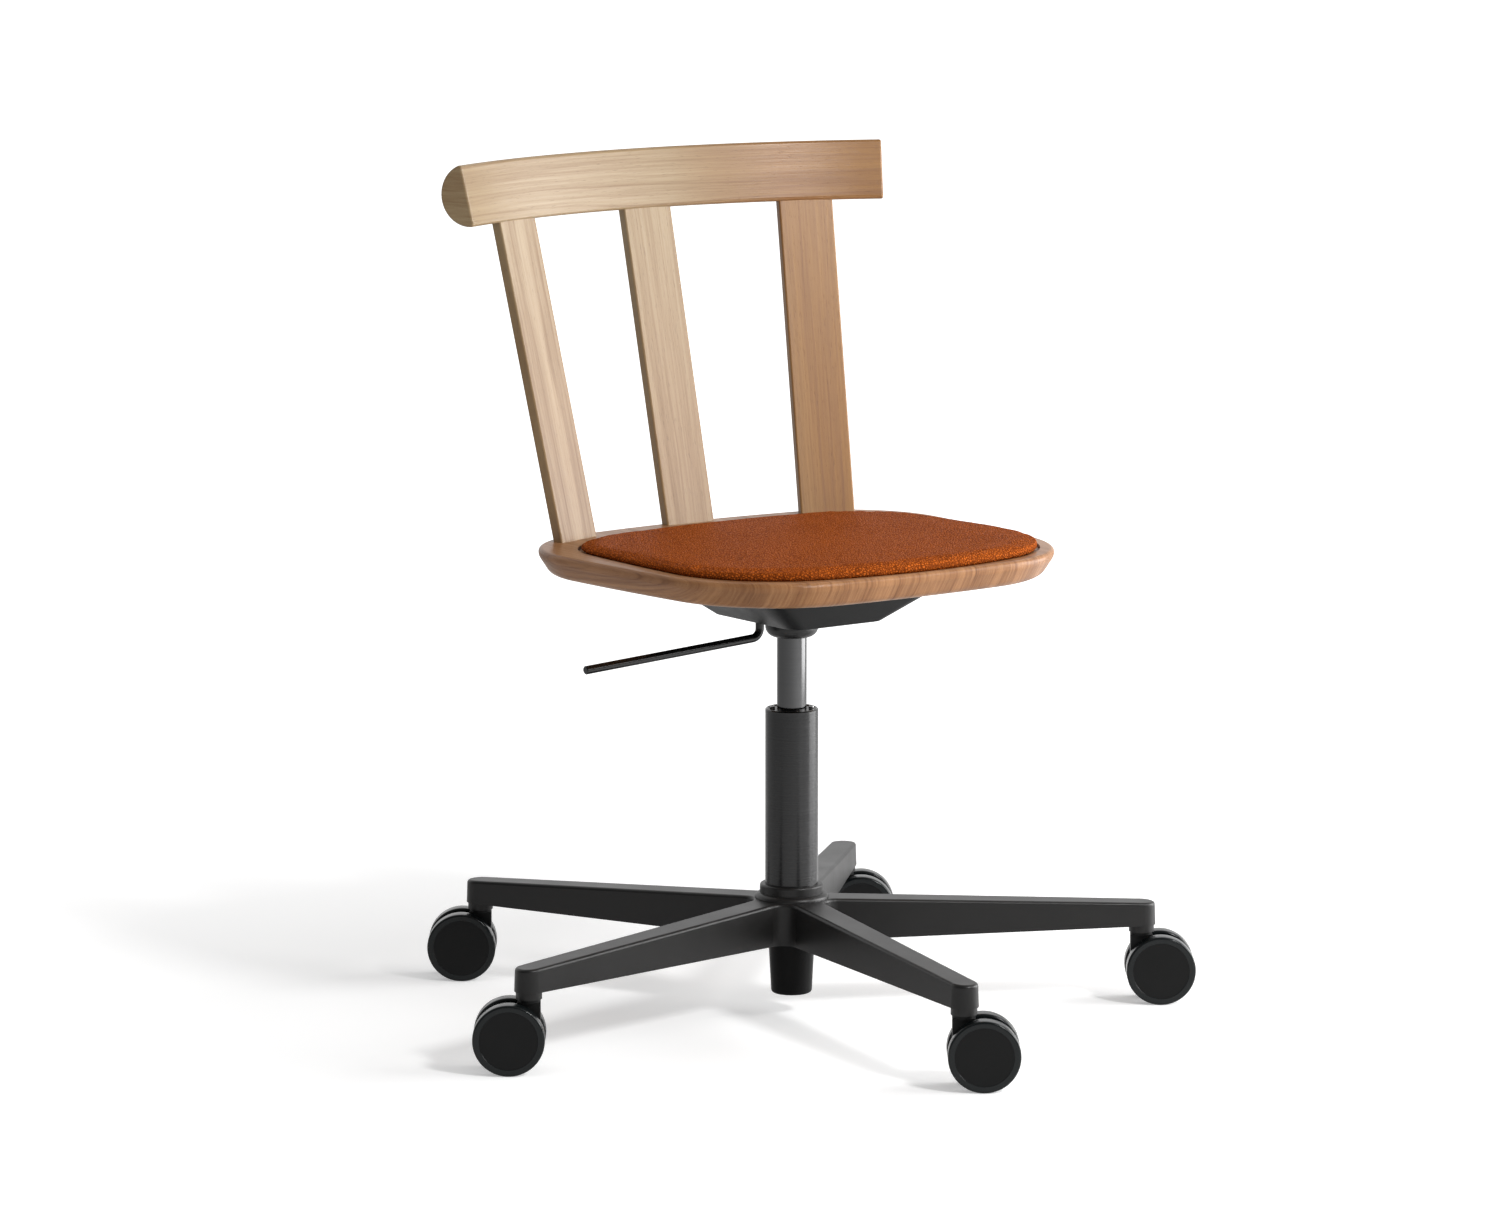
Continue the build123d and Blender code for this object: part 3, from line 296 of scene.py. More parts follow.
unroll, unroll_in, unroll_out = start_group(
    "unrolled_back", [("Place", VECTOR)], [("Rail", VECTOR), ("Slat", VECTOR)]
)
parts = split_place(unroll, unroll_in["Place"])
behind = combine(unroll, "SUBTRACT", parts["Y"], BACK_AXIS_Y)
turn = combine(unroll, "ARCTAN2", parts["X"], behind)
way_round = combine(unroll, "MULTIPLY", turn, BACK_RADIUS)
radius = length_of(unroll, join_place(unroll, parts["X"], behind, 0.0))
leaning = combine(unroll, "MULTIPLY", parts["Z"], math.tan(BACK_LEAN))
depth = combine(unroll, "SUBTRACT", radius, leaning)
unroll.links.new(join_place(unroll, way_round, parts["Z"], depth), unroll_out["Rail"])
unroll.links.new(join_place(unroll, parts["Z"], way_round, depth), unroll_out["Slat"])
print("unrolled back group:", len(unroll.nodes), "nodes")

# %% [markdown]
# ## Three wooden finishes
# The boards share one recipe and differ in how the grain lies: front to back in the seat, upright
# in the slats, and along the bend in the crest rail. The seat has tones of its own, with more
# contrast. The back's colour has painted sheen in it: paler on the -X side and at the top, where it
# mirrors the side box, and warmer towards +X and the seat, where no sheen falls. The lacquer gives
# a soft sheen as well, which also makes the slats look paler where they mirror the light.

# %% Wood materials
SEAT_PALE = (0.430, 0.212, 0.092, 1)
SEAT_DARK = (0.105, 0.032, 0.008, 1)
SEAT_SHINE = 0.25
# The back's two pairs of colours: painted sheen for the side that mirrors the side box, and the
# tone without sheen for the other side and the foot.
SHEENED_BACK_PALE = (0.361, 0.264, 0.148, 1)
SHEENED_BACK_DARK = (0.190, 0.100, 0.035, 1)
BACK_SHINE = 0.5
UNSHEENED_BACK_PALE = (0.332, 0.168, 0.052, 1)
UNSHEENED_BACK_DARK = (0.150, 0.050, 0.010, 1)
SHEEN_FADE_FROM = 0.03
SHEEN_FADE_FULL = 0.15
SHEEN_FADE_TOP = 0.74
SHEEN_FADE_LOW = 0.50
SHEEN_FADE_FOOT_SHARE = 0.42
LACQUER_IOR = 1.5
FIBRE_DEPTH = 0.00003


def lay_seat(tree, place, wood):
    """Turn the grain front to back, with the seat's own two colours."""
    values = {"Vector": place, "Rotation": (0, 0, math.pi / 2)}
    turned = add_node(tree, "ShaderNodeMapping", values)
    tree.links.new(turned.outputs["Vector"], wood.inputs["Place"])
    wood.inputs["Pale"].default_value = SEAT_PALE
    wood.inputs["Dark"].default_value = SEAT_DARK


def lay_back(tree, place, wood, lie):
    """Lead the grain round the back, with painted sheen: paler to -X and up, warmer to +X and down.
    """
    rolled = add_node(tree, "ShaderNodeGroup", None, node_tree=unroll)
    tree.links.new(place, rolled.inputs["Place"])
    tree.links.new(rolled.outputs[lie], wood.inputs["Place"])
    spot = split_place(tree, place)
    # Painted sheen: 0 where the back mirrors the side box, rising towards +X and towards the seat.
    sheen_fade_side = reach(tree, spot["X"], SHEEN_FADE_FROM, SHEEN_FADE_FULL)
    sheen_fade_foot = reach(tree, spot["Z"], SHEEN_FADE_TOP, SHEEN_FADE_LOW, 0.0, SHEEN_FADE_FOOT_SHARE)
    sheen_fade = combine(tree, "MAXIMUM", sheen_fade_side, sheen_fade_foot)
    tree.links.new(blend_colours(tree, sheen_fade, SHEENED_BACK_PALE, UNSHEENED_BACK_PALE), wood.inputs["Pale"])
    tree.links.new(blend_colours(tree, sheen_fade, SHEENED_BACK_DARK, UNSHEENED_BACK_DARK), wood.inputs["Dark"])


def make_wood(name, lie, shine):
    """Lacquered wood. Lie is Seat, Rail or Slat, the way the grain runs."""
    material, tree, shader, place = start_material(
        name, IOR=LACQUER_IOR, Specular_IOR_Level=shine
    )
    wood = add_node(tree, "ShaderNodeGroup", None, node_tree=grain)
    if lie == "Seat":
        lay_seat(tree, place, wood)
    else:
        lay_back(tree, place, wood, lie)
    tree.links.new(wood.outputs["Colour"], shader.inputs["Base Color"])
    tree.links.new(wood.outputs["Roughness"], shader.inputs["Roughness"])
    raise_surface(tree, shader, wood.outputs["Height"], FIBRE_DEPTH)
    return material


seat_wood = make_wood("seat_wood", "Seat", SEAT_SHINE)
slat_wood = make_wood("slat_wood", "Slat", BACK_SHINE)
rail_wood = make_wood("rail_wood", "Rail", BACK_SHINE)
print("wood finishes:", seat_wood.name, slat_wood.name, rail_wood.name)

# %% [markdown]
# ## Leather
# The pad wears tan leather with a fine pebble. Voronoi cells about two and a half millimetres wide
# make the pebbles, and their borders are the creases. The creases are painted darker, as the shade
# that falls in them, and a slow noise varies the dye. Plain cells have straight borders like cut
# glass, so their places are shaken a little first.

# %% Leather material
PEBBLES_PER_METRE = 400.0
PEBBLE_HEIGHT = 0.0006
PEBBLE_TOP = 0.28
WOBBLES_PER_METRE = 260.0
WOBBLE = 0.0016
DYE_DARK = (0.500, 0.109, 0.0142, 1)
DYE_PALE = (0.550, 0.123, 0.0168, 1)
CREASE_SHADE = (0.13, 0.026, 0.005, 1)
DYE_SHARE = 0.5
CREASE_ROUGH = 0.6
PEBBLE_ROUGH = 0.42

leather, tree, shader, place = start_material(
    "cognac_leather", IOR=1.45, Specular_IOR_Level=0.01
)
values = {"Vector": place, "Scale": WOBBLES_PER_METRE, "Detail": 2.0}
wobble = add_node(tree, "ShaderNodeTexNoise", values).outputs["Color"]
shaken = combine_places(tree, "MULTIPLY", wobble, (WOBBLE, WOBBLE, WOBBLE))
values = {"Vector": combine_places(tree, "ADD", place, shaken), "Scale": PEBBLES_PER_METRE}
cells = add_node(tree, "ShaderNodeTexVoronoi", values, feature="DISTANCE_TO_EDGE")
pebbles = reach(tree, cells.outputs["Distance"], 0.0, PEBBLE_TOP)
dye = stretched_noise(tree, place, (34, 34, 34), detail=3.0, roughness=0.6)
dyed = blend_colours(tree, reach(tree, dye, 0.3, 0.7), DYE_DARK, DYE_PALE)
# Painted shade: the creases between the pebbles are darkened towards a deep brown.
crease_shaded = blend_colours(tree, combine(tree, "SUBTRACT", 1.0, pebbles), dyed, CREASE_SHADE)
rough = reach(tree, pebbles, 0.0, 1.0, CREASE_ROUGH, PEBBLE_ROUGH)
tree.links.new(crease_shaded, shader.inputs["Base Color"])
tree.links.new(rough, shader.inputs["Roughness"])
uneven = combine(tree, "ADD", pebbles, combine(tree, "MULTIPLY", dye, DYE_SHARE))
raise_surface(tree, shader, uneven, PEBBLE_HEIGHT)
print("leather:", len(tree.nodes), "nodes")

# %% [markdown]
# ## Fine surface texture
# Powder coat, moulded plastic and rubber all have a texture too fine to see as shapes but large
# enough to spread a highlight. One group gives it: a height and a light mottle, with the grain size
# as its input. As a group it is drawn once and serves seven finishes.

# %% Fine texture group
speckle, speckle_in, speckle_out = start_group(
    "fine_texture",
    [("Place", VECTOR), ("Grains per metre", VALUE)],
    [("Height", VALUE), ("Mottle", VALUE)],
)
values = {"Vector": speckle_in["Place"], "Scale": speckle_in["Grains per metre"]}
values.update({"Detail": 2.0, "Roughness": 0.6})
grit = add_node(speckle, "ShaderNodeTexNoise", values)
clouds = stretched_noise(speckle, speckle_in["Place"], (19, 19, 19), detail=3.0, roughness=0.6)
speckle.links.new(grit.outputs["Fac"], speckle_out["Height"])
speckle.links.new(reach(speckle, clouds, 0.3, 0.7), speckle_out["Mottle"])
print("fine texture group:", len(speckle.nodes), "nodes")

# %% [markdown]
# ## Coated and moulded finishes
# The base and the housing are coated metal, the casters and the collar are moulded plastic, and the
# lever is lacquered. All are nearly black, so what tells them apart is how wide and how strong
# their highlights are. Each finish is a short list of colours and sizes for the same recipe.

# %% Coated and moulded materials


def make_textured(name, dark, pale, grains, depth, rough, shine=0.5):
    """A finish with the fine texture. Rough is the lowest and highest roughness of its mottle."""
    material, tree, shader, place = start_material(name, Specular_IOR_Level=shine)
    texture = add_node(tree, "ShaderNodeGroup", None, node_tree=speckle)
    tree.links.new(place, texture.inputs["Place"])
    texture.inputs["Grains per metre"].default_value = grains
    mottle = texture.outputs["Mottle"]
    tree.links.new(blend_colours(tree, mottle, dark, pale), shader.inputs["Base Color"])
    tree.links.new(reach(tree, mottle, 0.0, 1.0, *rough), shader.inputs["Roughness"])
    raise_surface(tree, shader, texture.outputs["Height"], depth)
    return material


charcoal_coat = make_textured(
    "charcoal_coat",
    dark=(0.0090, 0.0086, 0.0084, 1),
    pale=(0.0116, 0.0111, 0.0109, 1),
    grains=1500.0,
    depth=0.00004,
    rough=(0.34, 0.40),
    shine=0.35,
)
housing_coat = make_textured(
    "housing_coat",
    dark=(0.0075, 0.0077, 0.0078, 1),
    pale=(0.0098, 0.0100, 0.0102, 1),
    grains=2200.0,
    depth=0.00003,
    rough=(0.36, 0.44),
    shine=0.1,
)
wheel_plastic = make_textured(
    "wheel_plastic",
    dark=(0.0068, 0.0070, 0.0070, 1),
    pale=(0.0088, 0.0090, 0.0090, 1),
    grains=1700.0,
    depth=0.00002,
    rough=(0.36, 0.42),
    shine=0.15,
)
collar_plastic = make_textured(
    "collar_plastic",
    dark=(0.004, 0.004, 0.004, 1),
    pale=(0.0055, 0.0055, 0.0055, 1),
    grains=1900.0,
    depth=0.00003,
    rough=(0.3, 0.38),
)
soft_tread = make_textured(
    "soft_tread",
    dark=(0.0045, 0.0062, 0.0066, 1),
    pale=(0.0060, 0.0080, 0.0084, 1),
    grains=1300.0,
    depth=0.00003,
    rough=(0.17, 0.23),
    shine=0.3,
)
inner_rubber = make_textured(
    "inner_rubber",
    dark=(0.012, 0.012, 0.012, 1),
    pale=(0.017, 0.017, 0.017, 1),
    grains=1100.0,
    depth=0.00006,
    rough=(0.6, 0.72),
)
lever_lacquer = make_textured(
    "lever_lacquer",
    dark=(0.003, 0.003, 0.003, 1),
    pale=(0.0045, 0.0045, 0.0045, 1),
    grains=600.0,
    depth=0.00001,
    rough=(0.12, 0.18),
)
print("coated and moulded finishes: 7")

# %% [markdown]
# ## Brushed metal
# The outer tube was turned while it was brushed, so fine lines run round it and its highlights
# stand upright. The stem is ground and plated, with finer lines. A group draws the lines from a
# stretched noise, and each metal sets how they run. The tube's shader is anisotropic as well, which
# spreads its highlight across the lines without needing every scratch as a shape.

# %% Brushed group and metals
brushing, brushing_in, brushing_out = start_group(
    "brushed_lines", [("Place", VECTOR), ("Lines per metre", VECTOR)], [("Lines", VALUE)]
)
ruled = combine_places(
    brushing, "MULTIPLY", brushing_in["Place"], brushing_in["Lines per metre"]
)
values = {"Vector": ruled, "Scale": 1.0, "Detail": 3.0}
scratches = add_node(brushing, "ShaderNodeTexNoise", values).outputs["Fac"]
brushing.links.new(reach(brushing, scratches, 0.3, 0.7), brushing_out["Lines"])


def make_brushed(name, dark, pale, lines, rough, depth, **values):
    """A bare metal with brushed lines, as many per metre along X, Y and Z as lines says."""
    material, tree, shader, place = start_material(name, Metallic=1.0, **values)
    brushed = add_node(tree, "ShaderNodeGroup", None, node_tree=brushing)
    tree.links.new(place, brushed.inputs["Place"])
    brushed.inputs["Lines per metre"].default_value = lines
    drawn = brushed.outputs["Lines"]
    tree.links.new(blend_colours(tree, drawn, dark, pale), shader.inputs["Base Color"])
    tree.links.new(reach(tree, drawn, 0.0, 1.0, *rough), shader.inputs["Roughness"])
    raise_surface(tree, shader, drawn, depth)
    return material


stem_steel = make_brushed(
    "stem_steel",
    dark=(0.092, 0.092, 0.093, 1),
    pale=(0.108, 0.108, 0.109, 1),
    lines=(40, 40, 6400),
    rough=(0.11, 0.14),
    depth=0.0000002,
)
plain_steel = make_brushed(
    "plain_steel",
    dark=(0.34, 0.34, 0.34, 1),
    pale=(0.46, 0.46, 0.46, 1),
    lines=(900, 900, 900),
    rough=(0.25, 0.4),
    depth=0.000008,
)
turned_brass = make_brushed(
    "turned_brass",
    dark=(0.52, 0.34, 0.12, 1),
    pale=(0.66, 0.45, 0.18, 1),
    lines=(60, 60, 2400),
    rough=(0.25, 0.38),
    depth=0.000008,
)
tube_metal = make_brushed(
    "tube_gunmetal",
    dark=(0.050, 0.050, 0.0505, 1),
    pale=(0.064, 0.064, 0.0645, 1),
    lines=(26, 26, 5200),
    rough=(0.23, 0.29),
    depth=0.000001,
    Anisotropic=0.8,
    Anisotropic_Rotation=0.25,
)
tube_tree = tube_metal.node_tree
tube_shader = tube_tree.nodes["Principled BSDF"]
tangent = add_node(tube_tree, "ShaderNodeTangent", None, direction_type="RADIAL", axis="Z")
tube_tree.links.new(tangent.outputs["Tangent"], tube_shader.inputs["Tangent"])
print("metals:", stem_steel.name, plain_steel.name, turned_brass.name, tube_metal.name)

# %% [markdown]
# ## The foot of the tube
# Under the hub the tube's tapered foot is painted black. It is the same solid piece as the brushed
# tube, so a second material would need its faces cut at the line. Instead the paint is laid on by
# height: the colour, the roughness and the metal all change at the hub's underside.

# %% Painted foot
PAINT_LINE = 0.0720
PAINT_EDGE = 0.0002
PAINT = (0.0055, 0.0055, 0.0055, 1)
PAINT_ROUGH = 0.35
PAINT_SHINE = 0.1

tube_place = add_node(tube_tree, "ShaderNodeTexCoord").outputs["Object"]
tube_height = split_place(tube_tree, tube_place)["Z"]
bare = reach(tube_tree, tube_height, PAINT_LINE - PAINT_EDGE, PAINT_LINE + PAINT_EDGE)
metal_colour = tube_shader.inputs["Base Color"].links[0].from_socket
metal_rough = tube_shader.inputs["Roughness"].links[0].from_socket
painted_colour = blend_colours(tube_tree, bare, PAINT, metal_colour)
painted_rough = blend_values(tube_tree, bare, PAINT_ROUGH, metal_rough)
tube_tree.links.new(painted_colour, tube_shader.inputs["Base Color"])
tube_tree.links.new(painted_rough, tube_shader.inputs["Roughness"])
tube_tree.links.new(bare, tube_shader.inputs["Metallic"])
tube_shader.inputs["Specular IOR Level"].default_value = PAINT_SHINE
print("tube painted below", PAINT_LINE, "m")

# %% [markdown]
# ## Dressing the chair's pieces
# Every piece that came with the model keeps its shape and gets its finish. The list below pairs
# each finish with the pieces that wear it. The casters repeat five times, so their names are
# counted out. The pieces inside the column get their finish too, since the model can be taken
# apart.

# %% Give the pieces their finishes
CASTERS = range(1, 6)
SIDES = ("left", "right")

finishes = {
    seat_wood: ["seat_board"],
    slat_wood: ["back_slat_left", "back_slat_middle", "back_slat_right"],
    rail_wood: ["crest_rail"],
    charcoal_coat: ["star_base"],
    housing_coat: ["mechanism_housing"],
    lever_lacquer: ["release_lever"],
    collar_plastic: ["column_collar", "guide_bush"],
    stem_steel: ["gas_cylinder", "piston_rod"],
    tube_metal: ["column_tube"],
    turned_brass: ["seat_inserts"],
    inner_rubber: ["rod_seal", "bump_stop"],
    plain_steel: ["bush_screws", "seat_screws", "lever_pivot_pin", "release_pin"],
    wheel_plastic: [],
    soft_tread: [],
    leather: ["seat_pad"],
}
finishes[plain_steel] += ["bearing_balls", "bearing_washer", "rod_clip"]
for number in CASTERS:
    finishes[plain_steel] += [f"caster_{number}_stem", f"caster_{number}_axle"]
    finishes[wheel_plastic].append(f"caster_{number}_frame")
    for side in SIDES:
        finishes[wheel_plastic].append(f"caster_{number}_{side}_wheel")
        finishes[soft_tread].append(f"caster_{number}_{side}_tyre")

for material, names in finishes.items():
    for name in names:
        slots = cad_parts[name].data.materials
        slots.clear()
        slots.append(material)
dressed = sum(len(names) for names in finishes.values())
print("pieces dressed:", dressed, "of", len(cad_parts))

# %% [markdown]
# ## The stuffed pad
# A leather pad is a bag of foam: it bulges between its edges, and only its foot is flat, where it
# sits in the board. Blender's cloth simulation does this by itself. First the pad's solid is
# copied, drawn in a little because it will swell, and remeshed into even squares, since a cloth of
# long thin triangles would crease along them. The foot's points are collected in a group.

# %% Prepare the pad
PAD_SHRINK = 0.0013
PAD_VOXEL = 0.0026
PAD_MERGE = 0.00002
SOFTEN_FACTOR = 0.5
SOFTEN_TIMES = 6
SEAT_TOP = 0.449
FOOT_MARGIN = 0.0005

solid_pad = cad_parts["seat_pad"]
pad = bpy.data.objects.new("leather_pad", solid_pad.data.copy())
scene.collection.objects.link(pad)
bpy.ops.object.select_all(action="DESELECT")
pad.select_set(True)
bpy.context.view_layer.objects.active = pad
bpy.ops.object.mode_set(mode="EDIT")
bpy.ops.mesh.select_all(action="SELECT")
bpy.ops.mesh.remove_doubles(threshold=PAD_MERGE)
bpy.ops.transform.shrink_fatten(value=-PAD_SHRINK)
bpy.ops.object.mode_set(mode="OBJECT")
remesh = pad.modifiers.new("even_squares", "REMESH")
remesh.mode = "VOXEL"
remesh.voxel_size = PAD_VOXEL
bpy.ops.object.modifier_apply(modifier=remesh.name)
soften = pad.modifiers.new("soften_steps", "SMOOTH")
soften.factor = SOFTEN_FACTOR
soften.iterations = SOFTEN_TIMES
bpy.ops.object.modifier_apply(modifier=soften.name)
held = pad.vertex_groups.new(name="foot")
foot = [v.index for v in pad.data.vertices if v.co.z < SEAT_TOP - FOOT_MARGIN]
held.add(foot, 1.0, "REPLACE")
print("pad mesh:", len(pad.data.vertices), "points,", len(foot), "of them held")

# %% [markdown]
# ## Inflating it
# The cloth is inflated with a low pressure while its foot is held. It has no weight here, because
# the foam carries it. Points may move only a few millimetres, so the pad keeps its place in the
# board. Sculpting the bulge would also work, but the simulation finds the even swell of a filled
# bag on its own.

# %% Simulate, cap and smooth
PAD_SWELL_LIMIT = 0.0024
PAD_PRESSURE = 2.5
PAD_STIFFNESS = 40
PAD_BENDING = 3
INFLATE_STEPS = 20

start = [v.co.copy() for v in pad.data.vertices]
cloth = pad.modifiers.new("inflate", "CLOTH")
cloth.settings.use_pressure = True
cloth.settings.uniform_pressure_force = PAD_PRESSURE
cloth.settings.vertex_group_mass = "foot"
cloth.settings.tension_stiffness = PAD_STIFFNESS
cloth.settings.compression_stiffness = PAD_STIFFNESS
cloth.settings.bending_stiffness = PAD_BENDING
cloth.settings.effector_weights.gravity = 0
cloth.collision_settings.use_collision = False
for step in range(1, INFLATE_STEPS + 1):
    scene.frame_set(step)
bpy.ops.object.modifier_apply(modifier=cloth.name)
for point, first in zip(pad.data.vertices, start):
    moved = point.co - first
    if moved.length > PAD_SWELL_LIMIT:
        point.co = first + moved.normalized() * PAD_SWELL_LIMIT
scene.frame_set(1)
moves = [(point.co - first).length for point, first in zip(pad.data.vertices, start)]
print("pad swelled by up to", round(max(moves) * 1000, 1), "mm")
bpy.ops.object.shade_smooth()
pad.data.materials.clear()
pad.data.materials.append(leather)
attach(pad, "seat")
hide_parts("seat_pad")
pad_low = [min(v.co[axis] for v in pad.data.vertices) for axis in range(3)]
pad_high = [max(v.co[axis] for v in pad.data.vertices) for axis in range(3)]
print("pad from", [round(x, 4) for x in pad_low], "to", [round(x, 4) for x in pad_high])

# %% [markdown]
# ## The section of a tyre
# Each wheel carries a soft tyre with rounded shoulders and a thin lip that reaches in over the
# wheel's face. A tyre is the same all the way round, so only its section is drawn here. It starts
# as a rectangle beside the axle, which lies along X. Two extrusions draw the lip, one sideways and
# one towards the axle. The faces are then dissolved into one, and the corners are bevelled.

# %% Draw the section
TYRE_OUTER = 0.0330
TYRE_INNER = 0.0294
TYRE_WIDTH = 0.0155
TYRE_SHOULDER = 0.0021
SHOULDER_STEPS = 6
LIP_INNER = 0.0268
LIP_THICKNESS = 0.0004
LIP_EDGE = 0.0002
HAIR = 0.0001

section_middle = (TYRE_OUTER + TYRE_INNER) / 2
outer_side = TYRE_WIDTH / 2
bpy.ops.object.select_all(action="DESELECT")
bpy.ops.mesh.primitive_plane_add(
    size=1, location=(0, 0, section_middle), rotation=(math.pi / 2, 0, 0)
)
tyre = bpy.context.active_object
tyre.name = "tyre_pattern"
tyre.scale = (TYRE_WIDTH, TYRE_OUTER - TYRE_INNER, 1)
bpy.ops.object.transform_apply(location=True, rotation=True, scale=True)


def pick_corners(piece, wanted):
    """Select, in edit mode, the points that a test on their place picks out."""
    bpy.ops.object.mode_set(mode="EDIT")
    bpy.ops.mesh.select_mode(type="VERT")
    bpy.ops.mesh.select_all(action="DESELECT")
    bpy.ops.object.mode_set(mode="OBJECT")
    for point in piece.data.vertices:
        point.select = wanted(point.co)
    bpy.ops.object.mode_set(mode="EDIT")
    bpy.ops.mesh.select_mode(type="VERT")


def extrude(x, z):
    """Extrude what is selected sideways by x and outwards by z."""
    bpy.ops.mesh.extrude_region_move(TRANSFORM_OT_translate={"value": (x, 0, z)})


pick_corners(tyre, lambda place: place.x > 0)
extrude(LIP_THICKNESS, 0)
pick_corners(tyre, lambda place: place.x > outer_side - HAIR and place.z < section_middle)
extrude(0, LIP_INNER - TYRE_INNER)
bpy.ops.mesh.select_all(action="SELECT")
bpy.ops.mesh.dissolve_faces()
pick_corners(
    tyre, lambda place: place.z > section_middle and abs(place.x - outer_side) < HAIR
)
bpy.ops.mesh.dissolve_verts()
pick_corners(tyre, lambda place: place.z > section_middle)
bpy.ops.mesh.bevel(offset=TYRE_SHOULDER, segments=SHOULDER_STEPS, affect="VERTICES")
lip_side = outer_side + LIP_THICKNESS
pick_corners(tyre, lambda place: place.z < LIP_INNER + HAIR and place.x > lip_side - HAIR)
bpy.ops.mesh.bevel(offset=LIP_EDGE, segments=1, affect="VERTICES")
bpy.ops.object.mode_set(mode="OBJECT")
print("tyre section:", len(tyre.data.vertices), "points")

# %% [markdown]
# ## Spinning it into a ring
# Spin carries the section round the axle. Its face is deleted first, so that only the outline is
# swept and no wall is left inside the rubber. Where the last step meets the first, their points are
# merged into a closed ring.

# %% Spin the section
SPIN_STEPS = 96
SPIN_MERGE = 0.00001
SHARP_ANGLE = math.radians(40)

bpy.ops.object.mode_set(mode="EDIT")
bpy.ops.mesh.select_all(action="SELECT")
bpy.ops.mesh.delete(type="ONLY_FACE")
bpy.ops.mesh.select_all(action="SELECT")
bpy.ops.mesh.spin(steps=SPIN_STEPS, angle=math.tau, center=(0, 0, 0), axis=(1, 0, 0))
bpy.ops.mesh.select_all(action="SELECT")
bpy.ops.mesh.remove_doubles(threshold=SPIN_MERGE)
bpy.ops.mesh.normals_make_consistent(inside=False)
bpy.ops.object.mode_set(mode="OBJECT")
bpy.ops.object.shade_smooth_by_angle(angle=SHARP_ANGLE)
print("tyre pattern:", len(tyre.data.polygons), "faces")

# %% [markdown]
# ## Ten tyres
# The pattern is copied to the ten wheels, each copy with a mesh of its own, because every wheel
# rolls by itself. A copy is turned so that its lip faces outwards, away from the middle of its
# axle, and then moved to where the solid tyre sits.

# %% Copy it to the wheels
ALONG_AXLE = Vector((1, 0, 0))

for number in CASTERS:
    axle_low, axle_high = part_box(f"caster_{number}_axle")
    axle = (axle_low + axle_high) / 2
    for side in SIDES:
        name = f"caster_{number}_{side}"
        low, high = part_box(name + "_tyre")
        middle = (low + high) / 2
        copy = bpy.data.objects.new(name + "_soft_tyre", tyre.data.copy())
        scene.collection.objects.link(copy)
        outwards = (middle - axle).normalized()
        placing = ALONG_AXLE.rotation_difference(outwards).to_matrix().to_4x4()
        placing.translation = middle
        copy.data.transform(placing)
        copy.data.materials.append(soft_tread)
        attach(copy, name)
        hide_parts(name + "_tyre")
bpy.data.objects.remove(tyre)
print("tyres placed:", len(CASTERS) * len(SIDES))

# %% [markdown]
# ## The floor
# The chair was photographed on a white sweep, with only its shadow to show the floor. The floor is
# a plain white disc that takes the shadow. For the camera it also glows, a little near the chair
# and more with the distance, until floor and background are one white. Mirror-like surfaces see
# only a faint glow, so the dark pieces stay dark. A lamp on the background could whiten it too, but
# would light the chair as well.

# %% Floor
FLOOR_RADIUS = 16
FLOOR_SIDES = 96
FLOOR_GLOW = 0.34
MIRROR_GLOW = 0.05
GLOW_FROM = 0.5
GLOW_FULL = 2.4
PAPER_DARK = (0.84, 0.84, 0.84, 1)
PAPER_PALE = (0.86, 0.86, 0.86, 1)


def seen_by(tree):
    """Two masks: what the camera sees itself, and what it sees in a mirror-like surface."""
    path = add_node(tree, "ShaderNodeLightPath").outputs
    mirrored = combine(tree, "MAXIMUM", path["Is Glossy Ray"], path["Is Transmission Ray"])
    return path["Is Camera Ray"], mirrored


bpy.ops.object.select_all(action="DESELECT")
bpy.ops.mesh.primitive_circle_add(
    vertices=FLOOR_SIDES, radius=FLOOR_RADIUS, fill_type="NGON", location=(0, 0, 0)
)
floor = bpy.context.active_object
floor.name = "studio_floor"
floor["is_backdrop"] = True

white_floor, tree, shader, place = start_material(
    "white_floor", Roughness=0.9, Specular_IOR_Level=0.0, Emission_Color=(1, 1, 1, 1)
)
paper = stretched_noise(tree, place, (9, 9, 9), detail=2.0, roughness=0.5)
paper_colour = blend_colours(tree, paper, PAPER_DARK, PAPER_PALE)
tree.links.new(paper_colour, shader.inputs["Base Color"])
direct, mirrored = seen_by(tree)
distance = length_of(tree, place)
glow = reach(tree, distance, GLOW_FROM, GLOW_FULL, FLOOR_GLOW, 1.0)
glow = combine(tree, "MULTIPLY", glow, direct)
glow = combine(tree, "ADD", glow, combine(tree, "MULTIPLY", mirrored, MIRROR_GLOW))
tree.links.new(glow, shader.inputs["Emission Strength"])
floor.data.materials.append(white_floor)
print("floor ready, with a radius of", FLOOR_RADIUS, "m")

# %% [markdown]
# ## The studio around the chair
# The camera sees white everywhere. The same world lights the chair evenly from all round, at less
# than half that strength, so that nothing is quite black. Mirror-like surfaces see it white behind
# the chair and dim in front, as in a studio where only the sweep is lit: this is what draws pale
# rims on the dark pieces. An image of a studio would do the same with less control.

# %% World
AMBIENT = 0.40
MIRRORED_FRONT = 0.15
SWEEP_FROM = -0.1
SWEEP_FULL = 0.3

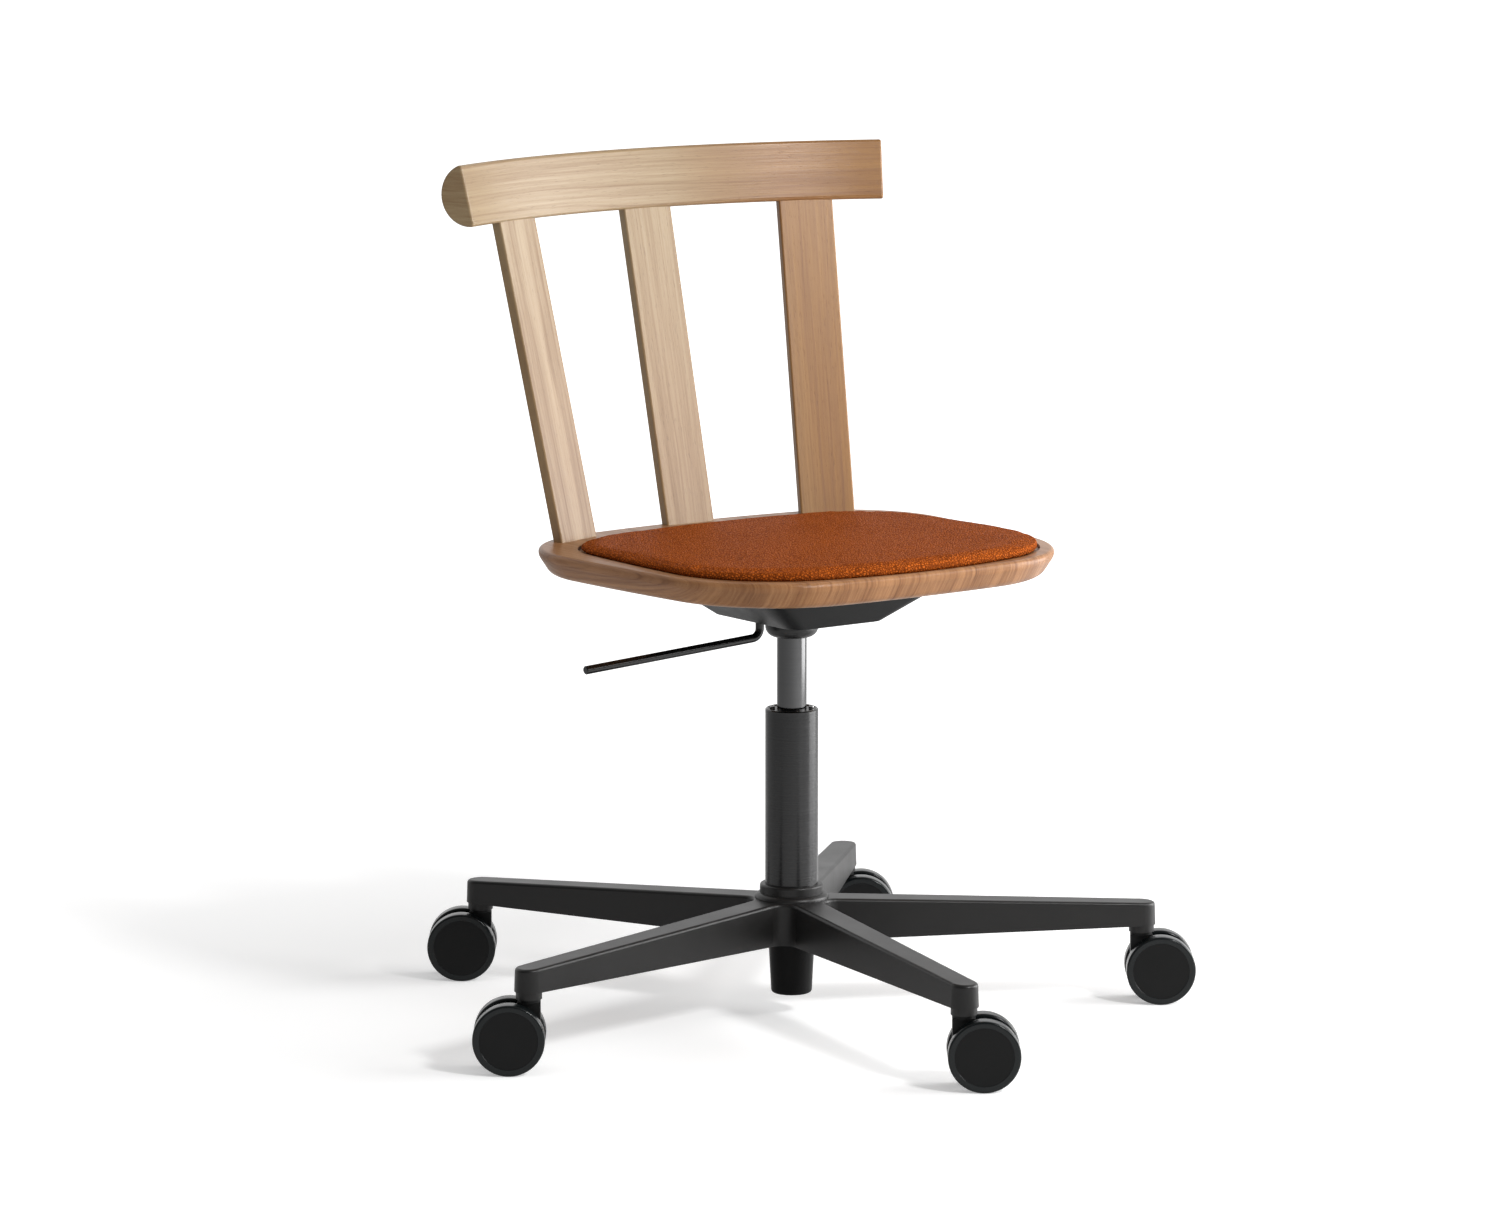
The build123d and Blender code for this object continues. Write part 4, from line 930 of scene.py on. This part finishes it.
world = bpy.data.worlds.new("white_studio")
scene.world = world
world.use_nodes = True
tree = world.node_tree
background = tree.nodes["Background"]
background.inputs["Color"].default_value = (1, 1, 1, 1)
ways = add_node(tree, "ShaderNodeTexCoord").outputs["Generated"]
values = {0: ways, 1: from_view(0, 1, 0)}
behind_chair = add_node(tree, "ShaderNodeVectorMath", values, operation="DOT_PRODUCT")
sweep = reach(tree, behind_chair.outputs["Value"], SWEEP_FROM, SWEEP_FULL)
direct, mirrored = seen_by(tree)
plain_light = reach(tree, direct, 0.0, 1.0, AMBIENT, 1.0)
mirror_light = reach(tree, sweep, 0.0, 1.0, MIRRORED_FRONT, 1.0)
strength = blend_values(tree, mirrored, plain_light, mirror_light)
tree.links.new(strength, background.inputs["Strength"])
print("world ready:", world.name)

# %% [markdown]
# ## Lamps
# A large soft box stands level with the chair on the photograph's right. The slats and the rail
# mirror it, which gives the sheen on the wood. A low strip beside the column draws the bright
# upright line on the tube and the stem. The shadows come from a small box high at the right in
# front, so they fall to the left and away. A sun lamp would throw harder shadows than these.

# %% Lamps
CHAIR_MIDDLE = Vector((0, 0, 0.42))
SLAT_MIDDLE = Vector((0, 0, 0.62))
COLUMN_MIDDLE = Vector((0, 0, 0.25))


def soft_box(name, place, target, width, height, power):
    """A rectangular lamp that faces a target."""
    aim = (target - place).to_track_quat("-Z", "Y").to_euler()
    bpy.ops.object.light_add(type="AREA", location=place, rotation=aim)
    lamp = bpy.context.active_object
    lamp.name = name
    lamp.data.shape = "RECTANGLE"
    lamp.data.size = width
    lamp.data.size_y = height
    lamp.data.energy = power


soft_box("side_box", from_view(2.3, 0.0, 1.25), SLAT_MIDDLE, width=2.2, height=0.85, power=40)
soft_box("low_strip", from_view(1.5, 0.35, 0.36), COLUMN_MIDDLE, width=1.2, height=0.62, power=15)
soft_box("key_box", from_view(2.32, -2.26, 2.76), CHAIR_MIDDLE, width=0.6, height=0.6, power=85)

# %% [markdown]
# ## Measure and finish
# The dressed chair must be the size of the model that it came from, so both boxes are written down
# side by side.

# %% Finish
low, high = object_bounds()
print("chair is", [round(x, 4) for x in high - low], "m, model was", cad_size, "m")
